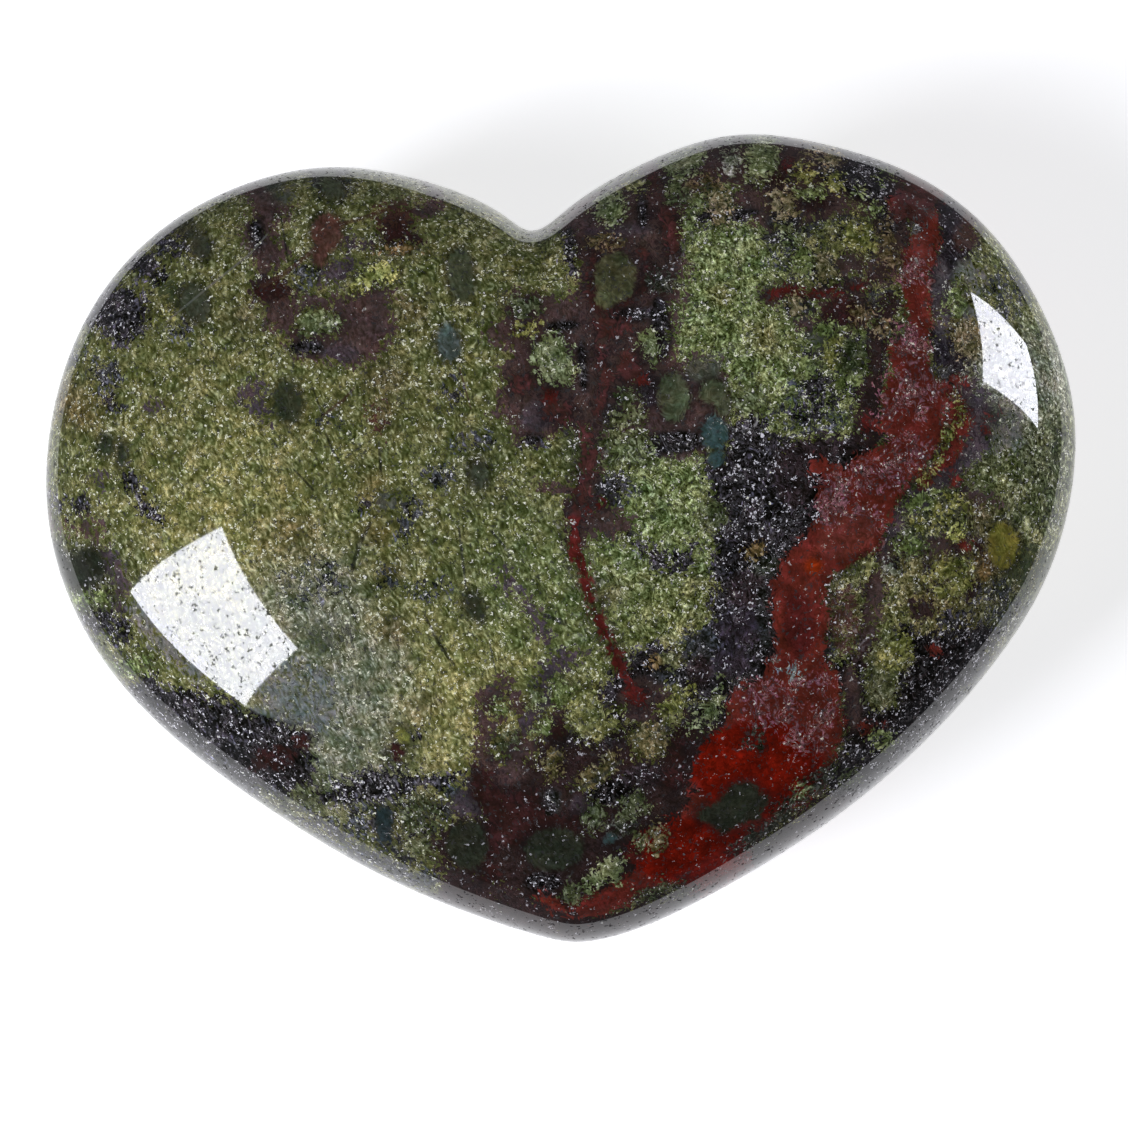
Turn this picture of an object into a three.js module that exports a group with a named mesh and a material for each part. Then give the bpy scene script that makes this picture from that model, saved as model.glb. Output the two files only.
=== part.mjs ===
// A puffed heart cut from bloodstone: one tumbled and polished stone, lying on its back.
// Units are millimetres. +X runs across the heart, +Y from its tip to its notch, +Z up.
// The origin is on the surface that the stone lies on, under the middle of its outline.

import * as THREE from 'three';

// Overall size
const WIDTH = 50;
const LENGTH = 38.5;
const THICKNESS = 18.5;

// Height of the girdle, the widest line around the stone, above the surface it lies on
const GIRDLE_HEIGHT = 9.25;

// How full the two domes are: 2 is an ellipse, and a higher number has a sharper shoulder
const CROWN_FULLNESS = 2.3;
const SHOULDER_FULLNESS = 2.35;

// Towards the middle of the face the heart outline eases into this plain oval
const CORE_WIDTH = 44;
const CORE_LENGTH = 36;
const CORE_CENTRE = new THREE.Vector2(0, 1.7);
const CORE_EASE = 2;

// Share of the oval that the grinder left flat on the back, which the stone rests on
const FLAT_SHARE = 0.3;

// Facets around the outline, and rings from the girdle to the top and to the flat
const SEGMENTS = 120;
const FRONT_RINGS = 14;
const BACK_RINGS = 10;

// Points that the girdle passes through, clockwise from the notch. They are measured on the
// stone, which is cut by hand, so its left and right lobes are not quite alike.
const GIRDLE_POINTS = [
  [-0.4, 15.2], [1.6, 16.4], [4.6, 17.95], [9.2, 19.2], [13.8, 18.5], [17.9, 16.8],
  [21.4, 13.9], [23.9, 9.5], [25.0, 4.1], [23.8, -1.7], [21.0, -6.3], [16.9, -10.5],
  [11.7, -14.3], [6.2, -17.2], [2.4, -18.7], [-0.3, -19.2], [-3.0, -18.6], [-8.4, -16.2],
  [-13.9, -12.7], [-19.1, -8.4], [-23.0, -3.5], [-24.9, 2.7], [-24.0, 9.3], [-21.0, 14.5],
  [-16.4, 17.8], [-10.6, 19.1], [-5.4, 18.0], [-2.1, 16.3],
].map(([x, y]) => new THREE.Vector2(x, y));

// Control points of the closed cubic spline that passes through the given points
function splineControls(points) {
  const passes = 40;
  const count = points.length;
  let controls = points.map((point) => point.clone());
  for (let pass = 0; pass < passes; pass += 1) {
    controls = controls.map((control, i) => {
      const before = controls[(i + count - 1) % count];
      const after = controls[(i + 1) % count];
      const reached = control.clone().multiplyScalar(4).add(before).add(after).divideScalar(6);
      return control.clone().add(points[i]).sub(reached);
    });
  }
  return controls;
}

// A point on the closed cubic spline, at a turn from 0 to 1
function splinePoint(controls, turn) {
  const count = controls.length;
  const along = turn * count;
  const i = Math.floor(along);
  const t = along - i;
  const weights = [
    (1 - t) ** 3,
    3 * t ** 3 - 6 * t ** 2 + 4,
    -3 * t ** 3 + 3 * t ** 2 + 3 * t + 1,
    t ** 3,
  ];
  const point = new THREE.Vector2();
  weights.forEach((weight, k) => {
    point.addScaledVector(controls[(i + k + count - 1) % count], weight / 6);
  });
  return point;
}

// The girdle outline, brought to the overall width and length and centred on the origin
function girdleOutline() {
  const controls = splineControls(GIRDLE_POINTS);
  const outline = [];
  for (let i = 0; i < SEGMENTS; i += 1) {
    outline.push(splinePoint(controls, i / SEGMENTS));
  }
  const box = new THREE.Box2().setFromPoints(outline);
  const middle = box.getCenter(new THREE.Vector2());
  const size = box.getSize(new THREE.Vector2());
  const scale = new THREE.Vector2(WIDTH / size.x, LENGTH / size.y);
  return outline.map((point) => point.sub(middle).multiply(scale));
}

// Where the ray from the core's centre to a girdle point lies at a share of the way out.
// Near the centre the ring is the core oval, and at the girdle it is the heart.
function ringPoint(girdlePoint, share) {
  const arm = girdlePoint.clone().sub(CORE_CENTRE);
  const reach = arm.length();
  const direction = arm.clone().divideScalar(reach);
  const core = 1 / Math.hypot(direction.x / (CORE_WIDTH / 2), direction.y / (CORE_LENGTH / 2));
  const radius = share * (core + (reach - core) * share ** CORE_EASE);
  return CORE_CENTRE.clone().addScaledVector(direction, radius);
}

// One ring of the stone: its share of the way out, and its height
function frontRing(step) {
  const angle = (step / FRONT_RINGS) * (Math.PI / 2);
  const share = Math.cos(angle) ** (2 / CROWN_FULLNESS);
  const rise = Math.sin(angle) ** (2 / SHOULDER_FULLNESS);
  return { share, height: GIRDLE_HEIGHT + (THICKNESS - GIRDLE_HEIGHT) * rise };
}

function backRing(step) {
  const angle = (step / BACK_RINGS) * (Math.PI / 2);
  const out = Math.cos(angle) ** (2 / CROWN_FULLNESS);
  const drop = Math.sin(angle) ** (2 / SHOULDER_FULLNESS);
  return { share: FLAT_SHARE + (1 - FLAT_SHARE) * out, height: GIRDLE_HEIGHT * (1 - drop) };
}

// The stone as one closed skin: rings from the flat on the back, over the girdle, to the top
function heartGeometry() {
  const rings = [];
  for (let step = BACK_RINGS; step > 0; step -= 1) {
    rings.push(backRing(step));
  }
  for (let step = 0; step < FRONT_RINGS; step += 1) {
    rings.push(frontRing(step));
  }
  const outline = girdleOutline();
  const positions = [];
  rings.forEach(({ share, height }) => {
    outline.forEach((girdlePoint) => {
      const point = ringPoint(girdlePoint, share);
      positions.push(point.x, point.y, height);
    });
  });
  const bottom = rings.length * SEGMENTS;
  const top = bottom + 1;
  positions.push(CORE_CENTRE.x, CORE_CENTRE.y, 0);
  positions.push(CORE_CENTRE.x, CORE_CENTRE.y, THICKNESS);

  const faces = [];
  for (let i = 0; i < SEGMENTS; i += 1) {
    const next = (i + 1) % SEGMENTS;
    for (let ring = 0; ring < rings.length - 1; ring += 1) {
      const low = ring * SEGMENTS;
      const high = low + SEGMENTS;
      faces.push(low + i, high + i, low + next);
      faces.push(low + next, high + i, high + next);
    }
    const last = (rings.length - 1) * SEGMENTS;
    faces.push(bottom, i, next);
    faces.push(top, last + next, last + i);
  }

  const geometry = new THREE.BufferGeometry();
  geometry.setAttribute('position', new THREE.Float32BufferAttribute(positions, 3));
  geometry.setIndex(faces);
  geometry.computeVertexNormals();
  return geometry;
}

// Dark green chalcedony with red jasper, polished to a high gloss
const bloodstone = new THREE.MeshStandardMaterial({ color: 0x5a5638, roughness: 0.08, metalness: 0 });

const heart = new THREE.Mesh(heartGeometry(), bloodstone);
heart.name = 'heart_stone';

const model = new THREE.Group();
model.name = 'bloodstone_heart';
model.add(heart);

export default model;
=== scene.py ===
"""A puffed heart of green and red bloodstone, tumbled to a high polish, on a pale light pad."""
import math
from functools import partial

import bpy
import numpy as np
from bpy.props import FloatProperty, FloatVectorProperty, IntProperty, PointerProperty
from mathutils import Matrix, Vector, noise


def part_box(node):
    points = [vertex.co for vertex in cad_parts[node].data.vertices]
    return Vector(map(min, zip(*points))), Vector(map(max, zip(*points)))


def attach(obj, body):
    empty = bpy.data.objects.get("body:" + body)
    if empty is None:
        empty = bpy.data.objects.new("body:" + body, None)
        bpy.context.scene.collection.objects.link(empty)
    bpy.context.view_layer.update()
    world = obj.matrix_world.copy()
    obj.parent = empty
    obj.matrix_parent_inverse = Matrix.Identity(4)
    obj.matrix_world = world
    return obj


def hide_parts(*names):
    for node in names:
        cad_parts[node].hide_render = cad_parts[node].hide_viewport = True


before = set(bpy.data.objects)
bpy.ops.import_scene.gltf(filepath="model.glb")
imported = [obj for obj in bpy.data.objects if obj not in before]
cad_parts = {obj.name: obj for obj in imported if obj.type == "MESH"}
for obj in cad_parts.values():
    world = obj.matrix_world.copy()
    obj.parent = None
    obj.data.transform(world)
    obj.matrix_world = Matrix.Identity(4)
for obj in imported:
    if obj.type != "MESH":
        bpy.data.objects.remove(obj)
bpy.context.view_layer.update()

bl_info = {
    "name": "Bloodstone Heart",
    "version": (1, 0, 0),
    "blender": (4, 5, 0),
    "location": "View3D > Sidebar > Bloodstone Heart",
    "description": "Makes a puffed heart of polished bloodstone and the studio that it lies in",
    "category": "Object",
}

MM = 0.001
NODE = "heart_stone"
HEART_LOW, HEART_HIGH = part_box(NODE)
HEART_SIZE = HEART_HIGH - HEART_LOW

MATH = "ShaderNodeMath"
VECTOR_MATH = "ShaderNodeVectorMath"
MAP_RANGE = "ShaderNodeMapRange"
MIX = "ShaderNodeMix"
NOISE = "ShaderNodeTexNoise"
VORONOI = "ShaderNodeTexVoronoi"
ATTRIBUTE = "ShaderNodeAttribute"
COMBINE = "ShaderNodeCombineXYZ"
SEPARATE = "ShaderNodeSeparateXYZ"
SURFACE = "ShaderNodeBsdfPrincipled"

# The inputs of a Mix node that mixes vectors, by their place in its list, and its settings
FACTOR, LOWER, UPPER = 0, 4, 5
OF_VECTORS = {"data_type": "VECTOR", "output": 1}

ONES = (1.0, 1.0, 1.0)
HALVES = (0.5, 0.5, 0.5)

# The lamps are a little cooler than white. Their distance is in metres, and the width of the
# camera's sensor in millimetres.
LAMP_COLOUR = (0.96, 0.97, 1.08)
SOFTBOX_DISTANCE = 0.5
SENSOR_WIDTH = 36.0

# Points that the girdle passes through, in millimetres, clockwise from the notch. The stone is
# cut by hand, so its left and right lobes are not quite alike.
GIRDLE_POINTS = (
    (-0.4, 15.2), (1.6, 16.4), (4.6, 17.95), (9.2, 19.2), (13.8, 18.5), (17.9, 16.8),
    (21.4, 13.9), (23.9, 9.5), (25.0, 4.1), (23.8, -1.7), (21.0, -6.3), (16.9, -10.5),
    (11.7, -14.3), (6.2, -17.2), (2.4, -18.7), (-0.3, -19.2), (-3.0, -18.6), (-8.4, -16.2),
    (-13.9, -12.7), (-19.1, -8.4), (-23.0, -3.5), (-24.9, 2.7), (-24.0, 9.3), (-21.0, 14.5),
    (-16.4, 17.8), (-10.6, 19.1), (-5.4, 18.0), (-2.1, 16.3),
)

# The markings of the stone, as its face shows them from the front. Their places are in
# millimetres from the middle of the outline, x towards the right lobe and y towards the notch.
# A mark's fill is the furthest that a place in it counts as inside, in millimetres: where it
# is low, the grains of what the mark lies in show through.

# Colours of the minerals, as the polished face shows them, and the pale greys of the painted
# reflections beside the softbox windows
TINTS = {
    "olive": "#5a5d33",
    "brown olive": "#645c37",
    "yellow olive": "#7c7a46",
    "leaf": "#586337",
    "dim leaf": "#494d30",
    "dim olive": "#4e482b",
    "pale leaf": "#5f6743",
    "yellow leaf": "#616230",
    "lime": "#86884a",
    "grey leaf and painted reflection": "#6b6f5c",
    "moss": "#394026",
    "night moss": "#272a1f",
    "ochre": "#5d4c2a",
    "khaki": "#6c6346",
    "tan": "#54482f",
    "ink": "#0c0906",
    "black": "#1a1816",
    "slate": "#272825",
    "grey olive": "#4b4c3e",
    "fog and painted reflection": "#68675f",
    "painted reflection grey": "#676a64",
    "maroon black": "#241c1b",
    "plum black": "#282226",
    "dark maroon": "#2e211e",
    "maroon": "#463632",
    "plum": "#443a3d",
    "grey plum": "#50464a",
    "brown": "#432c24",
    "dull red": "#482a26",
    "dark red": "#2f1b18",
    "deep red": "#4c1c17",
    "blood red": "#60261d",
    "rust red": "#621205",
    "brick red": "#6c322a",
    "orange red": "#90300f",
    "lilac": "#4e2f2f",
    "teal": "#374946",
    "seam": "#1c1412",
    "dark teal": "#263030",
    "blue grey": "#4a534c",
    "eye green": "#323725",
    "eye grey": "#3f4131",
    "eye olive": "#46472f",
    "eye moss": "#4a5039",
    "eye bright": "#6d672c",
    "eye brown": "#553a30",
    "frost": "#e2e0e4",
    "green frost": "#eeefd2",
}

# Distances into a mark are kept up to this far, in millimetres
FULL = 1.5

# Further than any mark reaches, and what keeps the middle of an oval from a division by zero
FAR = 9.0
TINY = 1e-6


def patch(tint, *outline, fill=FULL):
    """A patch inside a closed outline"""
    return tint, fill, "patch", outline


def stroke(tint, *run, fill=FULL):
    """A band along a line, whose points have x, y and half its width there"""
    return tint, fill, "stroke", run


def blot(tint, x, y, across, along, turn=0, fill=FULL):
    """An oval around a point, with half its size both ways and its turn in degrees"""
    return tint, fill, "blot", (x, y, across, along, turn)


# Broad tints of the green epidote that the stone is mostly made of: tint, x, y and radius. The grey
# leaf zones beside the softbox windows also carry their painted reflection.
GREEN_ZONES = (
    ("olive", -16.0, 10.5, 6.0),
    ("yellow olive", -15.5, 4.0, 5.0),
    ("olive", -18.0, 7.0, 2.0),
    ("olive", -11.0, 5.5, 4.5),
    ("olive", -22.5, 5.0, 3.0),
    ("moss", -23.0, 0.0, 2.2),
    ("olive", -20.0, -4.5, 2.5),
    ("olive", -5.5, 2.0, 5.0),
    ("moss", -4.0, 4.2, 1.6),
    ("leaf", -2.5, -2.0, 3.6),
    ("yellow olive", -6.2, -6.8, 3.6),
    # These grey leaf zones right of and below the left softbox window carry its painted reflection
    ("grey leaf and painted reflection", -11.5, -7.5, 3.4),
    ("grey leaf and painted reflection", -12.5, -1.5, 2.4),
    ("grey leaf and painted reflection", -9.3, -5.6, 1.6),
    ("olive", -9.5, 13.5, 4.0),
    ("olive", -1.5, 14.0, 3.0),
    ("leaf", 9.0, 11.5, 5.0),
    ("leaf", 5.2, 1.6, 3.0),
    ("leaf", 2.5, -1.5, 2.5),
    ("olive", 4.6, -3.4, 1.8),
    ("moss", 1.6, 4.4, 1.5),
    ("leaf", 13.5, 8.0, 3.0),
    ("olive", 14.0, 13.5, 3.0),
    ("brown olive", 18.6, -3.4, 2.4),
    ("moss", 17.8, 0.4, 2.0),
    ("moss", 17.6, 0.2, 1.4),
    ("moss", 22.3, 1.8, 2.4),
    ("olive", 21.5, 1.2, 1.2),
    # This grey leaf zone below the right softbox window carries its painted reflection
    ("grey leaf and painted reflection", 21.8, 6.0, 2.0),
    ("moss", 20.8, -4.6, 1.8),
    ("tan", -8.3, 8.6, 1.1),
    ("tan", -8.5, 7.0, 0.8),
    ("tan", -6.9, 11.8, 0.9),
    ("ochre", -9.3, 3.6, 0.8),
    ("ochre", -9.0, 1.2, 0.7),
    ("ochre", -13.3, 1.4, 1.3),
    ("tan", -15.0, 11.9, 1.0),
    ("tan", -8.7, -3.6, 0.8),
    ("tan", -7.4, -7.2, 0.9),
    ("tan", -8.5, -0.8, 0.6),
    ("ochre", -22.8, 8.0, 1.0),
    ("ochre", 8.3, 11.6, 0.6),
    ("dim olive", 13.0, -4.2, 1.3),
    ("ochre", 16.5, 12.5, 0.9),
    ("ochre", 13.3, 12.6, 0.8),
    ("ochre", 19.9, 8.5, 1.0),
    ("tan", 19.9, 0.2, 0.9),
    ("ochre", 20.2, -2.4, 0.7),
    ("ochre", 10.4, 9.4, 0.8),
    ("tan", 2.0, -2.4, 0.8),
)

# The dark matrix: black and maroon chalcedony between the green grains, and a few pale patches of
# painted reflection beside the softbox windows
DARK_MARKS = (
    # Upper left
    patch("black", (-19.0, 15.7), (-18.4, 16.4), (-17.7, 16.9), (-16.8, 17.4), (-16.5, 16.8),
          (-16.9, 16.1), (-17.2, 15.5), (-17.9, 15.1), (-18.8, 15.1)),
    blot("black", -18.9, 14.45, 0.5, 0.6),
    patch("black", (-20.6, 13.6), (-19.8, 13.5), (-19.2, 13.4), (-19.3, 12.7), (-19.5, 12.0),
          (-19.7, 11.6), (-20.3, 11.2), (-20.9, 11.1), (-21.5, 11.7), (-21.4, 12.4), (-21.0, 13.0)),
    blot("moss", -18.2, 13.4, 0.6, 0.5, fill=0.1),
    blot("slate", -17.8, 11.6, 0.4, 0.35, fill=0.1),
    blot("black", -21.5, 8.5, 0.35, 0.55),
    blot("slate", -21.5, 9.7, 0.5, 0.65, fill=0.1),
    blot("plum", -19.4, 8.0, 0.5, 0.22, turn=20),
    stroke("plum", (-15.2, 8.2, 0.15), (-14.4, 8.5, 0.3), (-14.3, 7.7, 0.3), (-14.2, 7.1, 0.2),
           fill=0.15),
    stroke("black", (-20.9, 4.9, 0.2), (-20.6, 4.2, 0.4), (-20.2, 3.4, 0.35), (-19.6, 2.6, 0.3)),
    blot("plum", -22.4, 4.8, 0.5, 0.35, fill=0.05),
    blot("black", -23.1, 3.3, 0.3, 0.55, fill=0.1),
    blot("maroon", -22.9, 2.4, 0.4, 0.45, fill=0.1),
    stroke("plum", (-22.2, 1.0, 0.25), (-21.7, 0.2, 0.3), (-21.6, -0.6, 0.3), (-21.8, -1.5, 0.3)),
    patch("black", (-22.8, -1.9), (-22.2, -1.6), (-21.6, -1.8), (-21.3, -2.4), (-21.1, -3.2),
          (-21.5, -3.4), (-22.0, -2.7), (-22.6, -2.5)),
    # This fog stroke along the lower left edge of the left softbox window is a painted reflection
    stroke("fog and painted reflection", (-20.9, -1.8, 0.4), (-20.2, -2.8, 0.4), (-19.2, -3.9, 0.35),
           (-18.2, -5.0, 0.3), fill=0.2),
    patch("maroon", (-13.6, 18.4), (-12.9, 18.4), (-12.2, 18.0), (-12.0, 17.3), (-12.4, 16.8),
          (-12.9, 16.3), (-13.0, 15.8), (-12.6, 15.5), (-12.5, 15.0), (-12.9, 14.5), (-13.4, 14.1),
          (-13.8, 14.0), (-13.9, 14.8), (-14.3, 15.0), (-14.5, 15.5), (-14.6, 16.2), (-14.2, 16.9),
          (-13.9, 17.5)),
    blot("black", -13.9, 16.1, 0.4, 0.8),
    patch("maroon", (-14.5, 13.1), (-14.1, 13.7), (-13.2, 13.7), (-12.5, 13.3), (-12.0, 12.6),
          (-12.3, 11.8), (-12.8, 11.3), (-13.5, 11.4), (-13.9, 11.9), (-14.0, 12.6)),
    blot("brown", -12.9, 13.2, 0.5, 0.45),
    patch("maroon", (-12.9, 11.4), (-12.0, 11.2), (-11.3, 10.9), (-10.6, 10.8), (-10.3, 11.3),
          (-10.4, 12.0), (-11.1, 12.2), (-11.8, 12.4), (-12.1, 12.9), (-11.0, 12.9), (-10.2, 12.6),
          (-9.5, 12.9), (-8.7, 13.0), (-7.6, 12.9), (-7.2, 12.4), (-7.6, 12.0), (-7.8, 11.4),
          (-7.5, 11.0), (-7.9, 10.5), (-8.3, 9.9), (-9.0, 9.6), (-10.0, 9.4), (-11.0, 9.7),
          (-11.9, 9.9), (-12.6, 10.0), (-12.9, 10.6)),
    blot("black", -11.9, 10.4, 0.9, 0.45),
    blot("plum", -10.3, 10.0, 0.9, 0.4),
    patch("plum", (-11.2, 13.4), (-10.5, 13.4), (-9.7, 13.6), (-9.1, 14.2), (-9.4, 14.6),
          (-10.2, 14.4), (-11.0, 13.9)),
    patch("slate", (-12.9, 14.0), (-12.0, 14.5), (-11.2, 14.3), (-11.0, 13.7), (-11.6, 13.3),
          (-12.6, 13.5), fill=0.1),
    patch("brown", (-8.0, 16.9), (-7.0, 17.0), (-6.3, 16.8), (-6.4, 16.2), (-6.2, 15.6),
          (-6.0, 15.1), (-6.8, 15.0), (-7.5, 15.2), (-7.9, 15.7), (-8.0, 16.3)),
    blot("plum", -9.0, 15.3, 0.8, 0.3, fill=0.1),
    stroke("maroon", (-5.9, 16.6, 0.35), (-5.3, 16.9, 0.35), (-4.8, 17.6, 0.3), (-4.4, 18.4, 0.2)),
    blot("night moss", -9.9, 18.1, 0.9, 0.5, fill=0.15),
    blot("grey olive", -12.4, 17.8, 0.5, 0.5, fill=0.1),
    # Left and middle
    blot("black", -9.5, 2.6, 0.35, 0.3),
    blot("grey olive", -8.5, 2.7, 0.65, 0.4, fill=0.2),
    blot("slate", -7.3, 2.3, 0.6, 0.45, fill=0.15),
    blot("slate", -5.8, 3.7, 0.55, 0.35, fill=0.1),
    blot("slate", -7.9, 1.5, 0.35, 0.6, fill=0.1),
    stroke("plum", (-3.0, -1.0, 0.2), (-2.9, -1.7, 0.3), (-2.3, -2.4, 0.25), (-1.6, -3.6, 0.2),
           (-1.3, -4.5, 0.3), fill=0.15),
    blot("slate", -8.9, -1.0, 0.3, 0.45, fill=0.1),
    blot("slate", -6.8, -1.7, 0.9, 0.3, fill=0.0),
    blot("slate", -11.1, 6.9, 0.5, 0.3, fill=0.1),
    blot("brown", -8.6, 6.7, 0.3, 0.6, fill=0.1),
    blot("slate", -4.9, 7.8, 0.3, 0.9, fill=0.05),
    blot("slate", -4.1, 5.4, 0.8, 0.4, fill=0.0),
    blot("grey olive", -11.6, -3.6, 1.0, 0.5, fill=-0.02),
    blot("slate", -12.3, -0.9, 1.6, 0.9, fill=-0.03),
    blot("black", -7.8, -8.7, 0.35, 0.3),
    # Down the left flank to the tip
    # This pale grey patch under the left softbox window is a painted reflection
    patch("painted reflection grey", (-14.2, -4.9), (-12.9, -4.8), (-12.0, -5.4), (-11.6, -6.6), (-12.2, -8.0),
          (-13.2, -8.2), (-14.6, -7.4), (-15.6, -6.9), (-15.2, -5.8), fill=0.1),
    patch("black", (-20.6, -4.9), (-20.0, -5.3), (-19.3, -5.6), (-18.5, -5.7), (-17.9, -6.1),
          (-17.3, -6.2), (-16.8, -6.6), (-16.2, -6.9), (-15.4, -7.2), (-14.6, -7.4), (-13.9, -7.7),
          (-13.3, -8.0), (-13.0, -8.6), (-13.0, -9.4), (-12.9, -10.2), (-13.1, -10.9),
          (-14.0, -11.2), (-15.2, -11.0), (-16.6, -10.2), (-17.8, -9.2), (-18.9, -8.2),
          (-19.8, -7.2), (-20.6, -6.2)),
    patch("black", (-13.2, -11.0), (-12.2, -10.9), (-11.4, -10.5), (-10.6, -10.1), (-9.9, -10.1),
          (-9.2, -10.3), (-8.6, -10.6), (-7.6, -10.6), (-6.6, -10.7), (-5.7, -10.6), (-6.2, -11.3),
          (-7.2, -11.3), (-8.4, -11.4), (-9.0, -11.9), (-9.9, -12.0), (-10.8, -11.8),
          (-11.6, -11.9), (-12.6, -11.9)),
    stroke("slate", (-24.8, 0.8, 0.5), (-23.6, -3.0, 0.9), (-19.8, -8.3, 1.2), (-14.6, -12.7, 1.4),
           (-9.2, -16.3, 1.6), (-3.4, -18.9, 1.4), (0.4, -19.5, 1.0), fill=0.8),
    stroke("dark maroon", (-6.0, -15.9, 1.0), (-3.0, -17.4, 1.0), (0.6, -18.8, 1.0),
           (5.0, -17.6, 0.9), (9.6, -15.2, 0.9), (13.4, -12.8, 0.9), (17.0, -9.6, 0.8), fill=0.6),
    patch("slate", (-11.5, -11.8), (-9.0, -11.8), (-6.0, -11.2), (-5.0, -10.9), (-4.5, -12.0),
          (-4.2, -13.0), (-5.0, -13.3), (-6.6, -13.2), (-7.2, -14.2), (-8.2, -15.2), (-9.6, -14.6),
          (-11.0, -13.6), fill=0.05),
    patch("plum", (-6.4, -12.0), (-5.6, -11.2), (-5.0, -11.2), (-4.9, -12.0), (-4.3, -12.6),
          (-4.4, -13.2), (-5.4, -13.1), (-6.3, -12.7)),
    blot("maroon", -7.2, -14.2, 0.7, 0.6),
    stroke("maroon", (-3.4, -6.7, 0.4), (-4.1, -7.0, 0.5), (-4.6, -7.8, 0.35), (-4.5, -8.8, 0.35),
           (-4.7, -9.6, 0.4), (-4.8, -10.3, 0.45)),
    stroke("maroon", (-3.3, -6.8, 0.35), (-2.9, -7.5, 0.35), (-2.6, -8.2, 0.3), (-2.7, -9.0, 0.3),
           (-3.2, -9.7, 0.45)),
    blot("maroon", -3.75, -8.3, 0.3, 0.4),
    stroke("plum", (0.4, -5.3, 0.15), (-0.3, -5.4, 0.3), (-1.1, -5.8, 0.4), (-1.5, -6.5, 0.3),
           (-1.5, -7.4, 0.3), (-2.1, -8.0, 0.35), (-2.6, -8.7, 0.35)),
    stroke("maroon", (-0.9, -7.9, 0.2), (-0.9, -8.8, 0.4), (-1.3, -9.3, 0.45), (-2.2, -9.6, 0.45),
           (-3.2, -9.9, 0.5)),
    patch("dark maroon", (-2.2, -9.2), (-0.4, -9.5), (1.0, -9.6), (2.5, -9.3), (2.6, -10.6),
          (0.4, -11.3), (-0.9, -11.5), (-2.1, -11.2)),
    stroke("maroon black", (-1.0, -9.6, 0.4), (0.0, -9.5, 0.3), (0.9, -9.8, 0.35),
           (1.9, -9.5, 0.3), (2.2, -8.6, 0.3)),
    blot("plum black", 1.6, -7.6, 0.75, 0.85),
    patch("dark maroon", (-5.3, -10.7), (-4.2, -10.1), (-3.0, -10.1), (-2.2, -10.3), (-1.9, -11.0),
          (-0.9, -11.2), (-0.2, -11.6), (0.3, -11.9), (0.9, -11.5), (1.8, -10.8), (2.4, -10.3),
          (3.0, -10.7), (3.9, -10.5), (4.3, -9.7), (4.8, -9.0), (5.2, -8.6), (6.0, -8.1),
          (6.6, -7.6), (7.3, -7.4), (7.6, -9.4), (6.2, -11.0), (5.8, -13.0), (4.8, -15.0),
          (2.4, -16.6), (0.0, -17.4), (-2.4, -17.2), (-3.2, -17.0), (-4.4, -16.6), (-5.8, -16.0),
          (-7.2, -15.2), (-7.4, -14.2), (-6.9, -13.2), (-6.2, -12.8), (-5.0, -13.0),
          (-4.5, -12.2), (-5.0, -11.4)),
    blot("maroon", -4.0, -10.8, 1.3, 0.6),
    blot("ink", 1.4, -12.1, 1.4, 0.7),
    blot("maroon black", 3.0, -11.4, 1.2, 0.6),
    blot("plum", -0.2, -12.7, 0.5, 0.5),
    blot("slate", 6.3, -8.6, 0.9, 0.7),
    blot("dark maroon", 5.6, -11.0, 0.5, 1.2),
    blot("ink", -2.2, -16.2, 0.9, 0.5),
    blot("slate", -1.6, -12.4, 0.5, 0.7),
    # Down the middle from the notch
    patch("maroon", (0.9, 15.3), (1.3, 14.4), (1.5, 13.4), (1.4, 12.3), (0.5, 11.9), (-0.5, 12.2),
          (-1.6, 12.4), (-2.3, 12.1), (-2.3, 11.3), (-3.1, 10.7), (-2.8, 9.9), (-2.2, 9.4),
          (-2.5, 8.8), (-2.4, 8.0), (-2.9, 7.4), (-2.9, 6.5), (-2.2, 6.0), (-2.0, 5.2),
          (-1.0, 4.9), (-0.2, 5.4), (0.6, 5.7), (1.3, 5.5), (1.4, 4.6), (1.0, 3.6), (0.2, 3.0),
          (-1.2, 3.1), (-1.0, 2.7), (0.2, 2.3), (0.1, 1.2), (0.0, 0.2), (0.4, -0.4), (0.9, -0.2),
          (1.2, 0.3), (2.0, 0.3), (2.9, 0.2), (3.2, 0.8), (2.6, 1.4), (1.9, 2.0), (2.2, 2.8),
          (1.8, 3.6), (2.0, 4.8), (2.6, 5.6), (3.0, 5.3), (4.2, 5.2), (4.9, 4.0), (5.8, 3.7),
          (6.9, 3.9), (8.3, 5.8), (8.2, 7.6), (8.0, 8.3), (7.0, 8.7), (6.0, 8.5), (5.9, 9.4),
          (5.9, 10.6), (6.5, 11.3), (6.5, 12.2), (6.9, 12.9), (6.4, 14.2), (7.0, 15.2),
          (7.1, 16.2), (7.6, 16.6), (8.1, 17.1), (9.2, 16.8), (9.3, 16.0), (10.2, 14.7),
          (10.9, 15.1), (10.9, 16.2), (10.3, 17.2), (10.6, 18.3), (9.5, 19.6), (4.0, 18.8),
          (0.9, 16.4)),
    blot("black", 1.2, 14.2, 0.4, 1.2),
    blot("plum", 3.6, 15.0, 1.6, 0.35),
    blot("black", 4.8, 15.8, 0.35, 0.9),
    blot("black", 5.3, 10.2, 0.55, 1.6),
    blot("black", 4.0, 10.9, 1.2, 0.4),
    blot("grey olive", 7.2, 8.0, 0.9, 0.6),
    blot("black", 5.6, 4.6, 1.6, 0.6),
    blot("black", 1.4, 8.6, 0.3, 1.3),
    blot("plum", -0.9, 6.3, 0.9, 0.7),
    blot("black", 8.9, 15.4, 1.6, 0.4),
    blot("black", 0.6, 10.6, 0.9, 0.3),
    blot("plum black", 4.5, 7.2, 0.6, 0.9),
    blot("slate", 2.4, 2.5, 0.9, 0.7),
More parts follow.
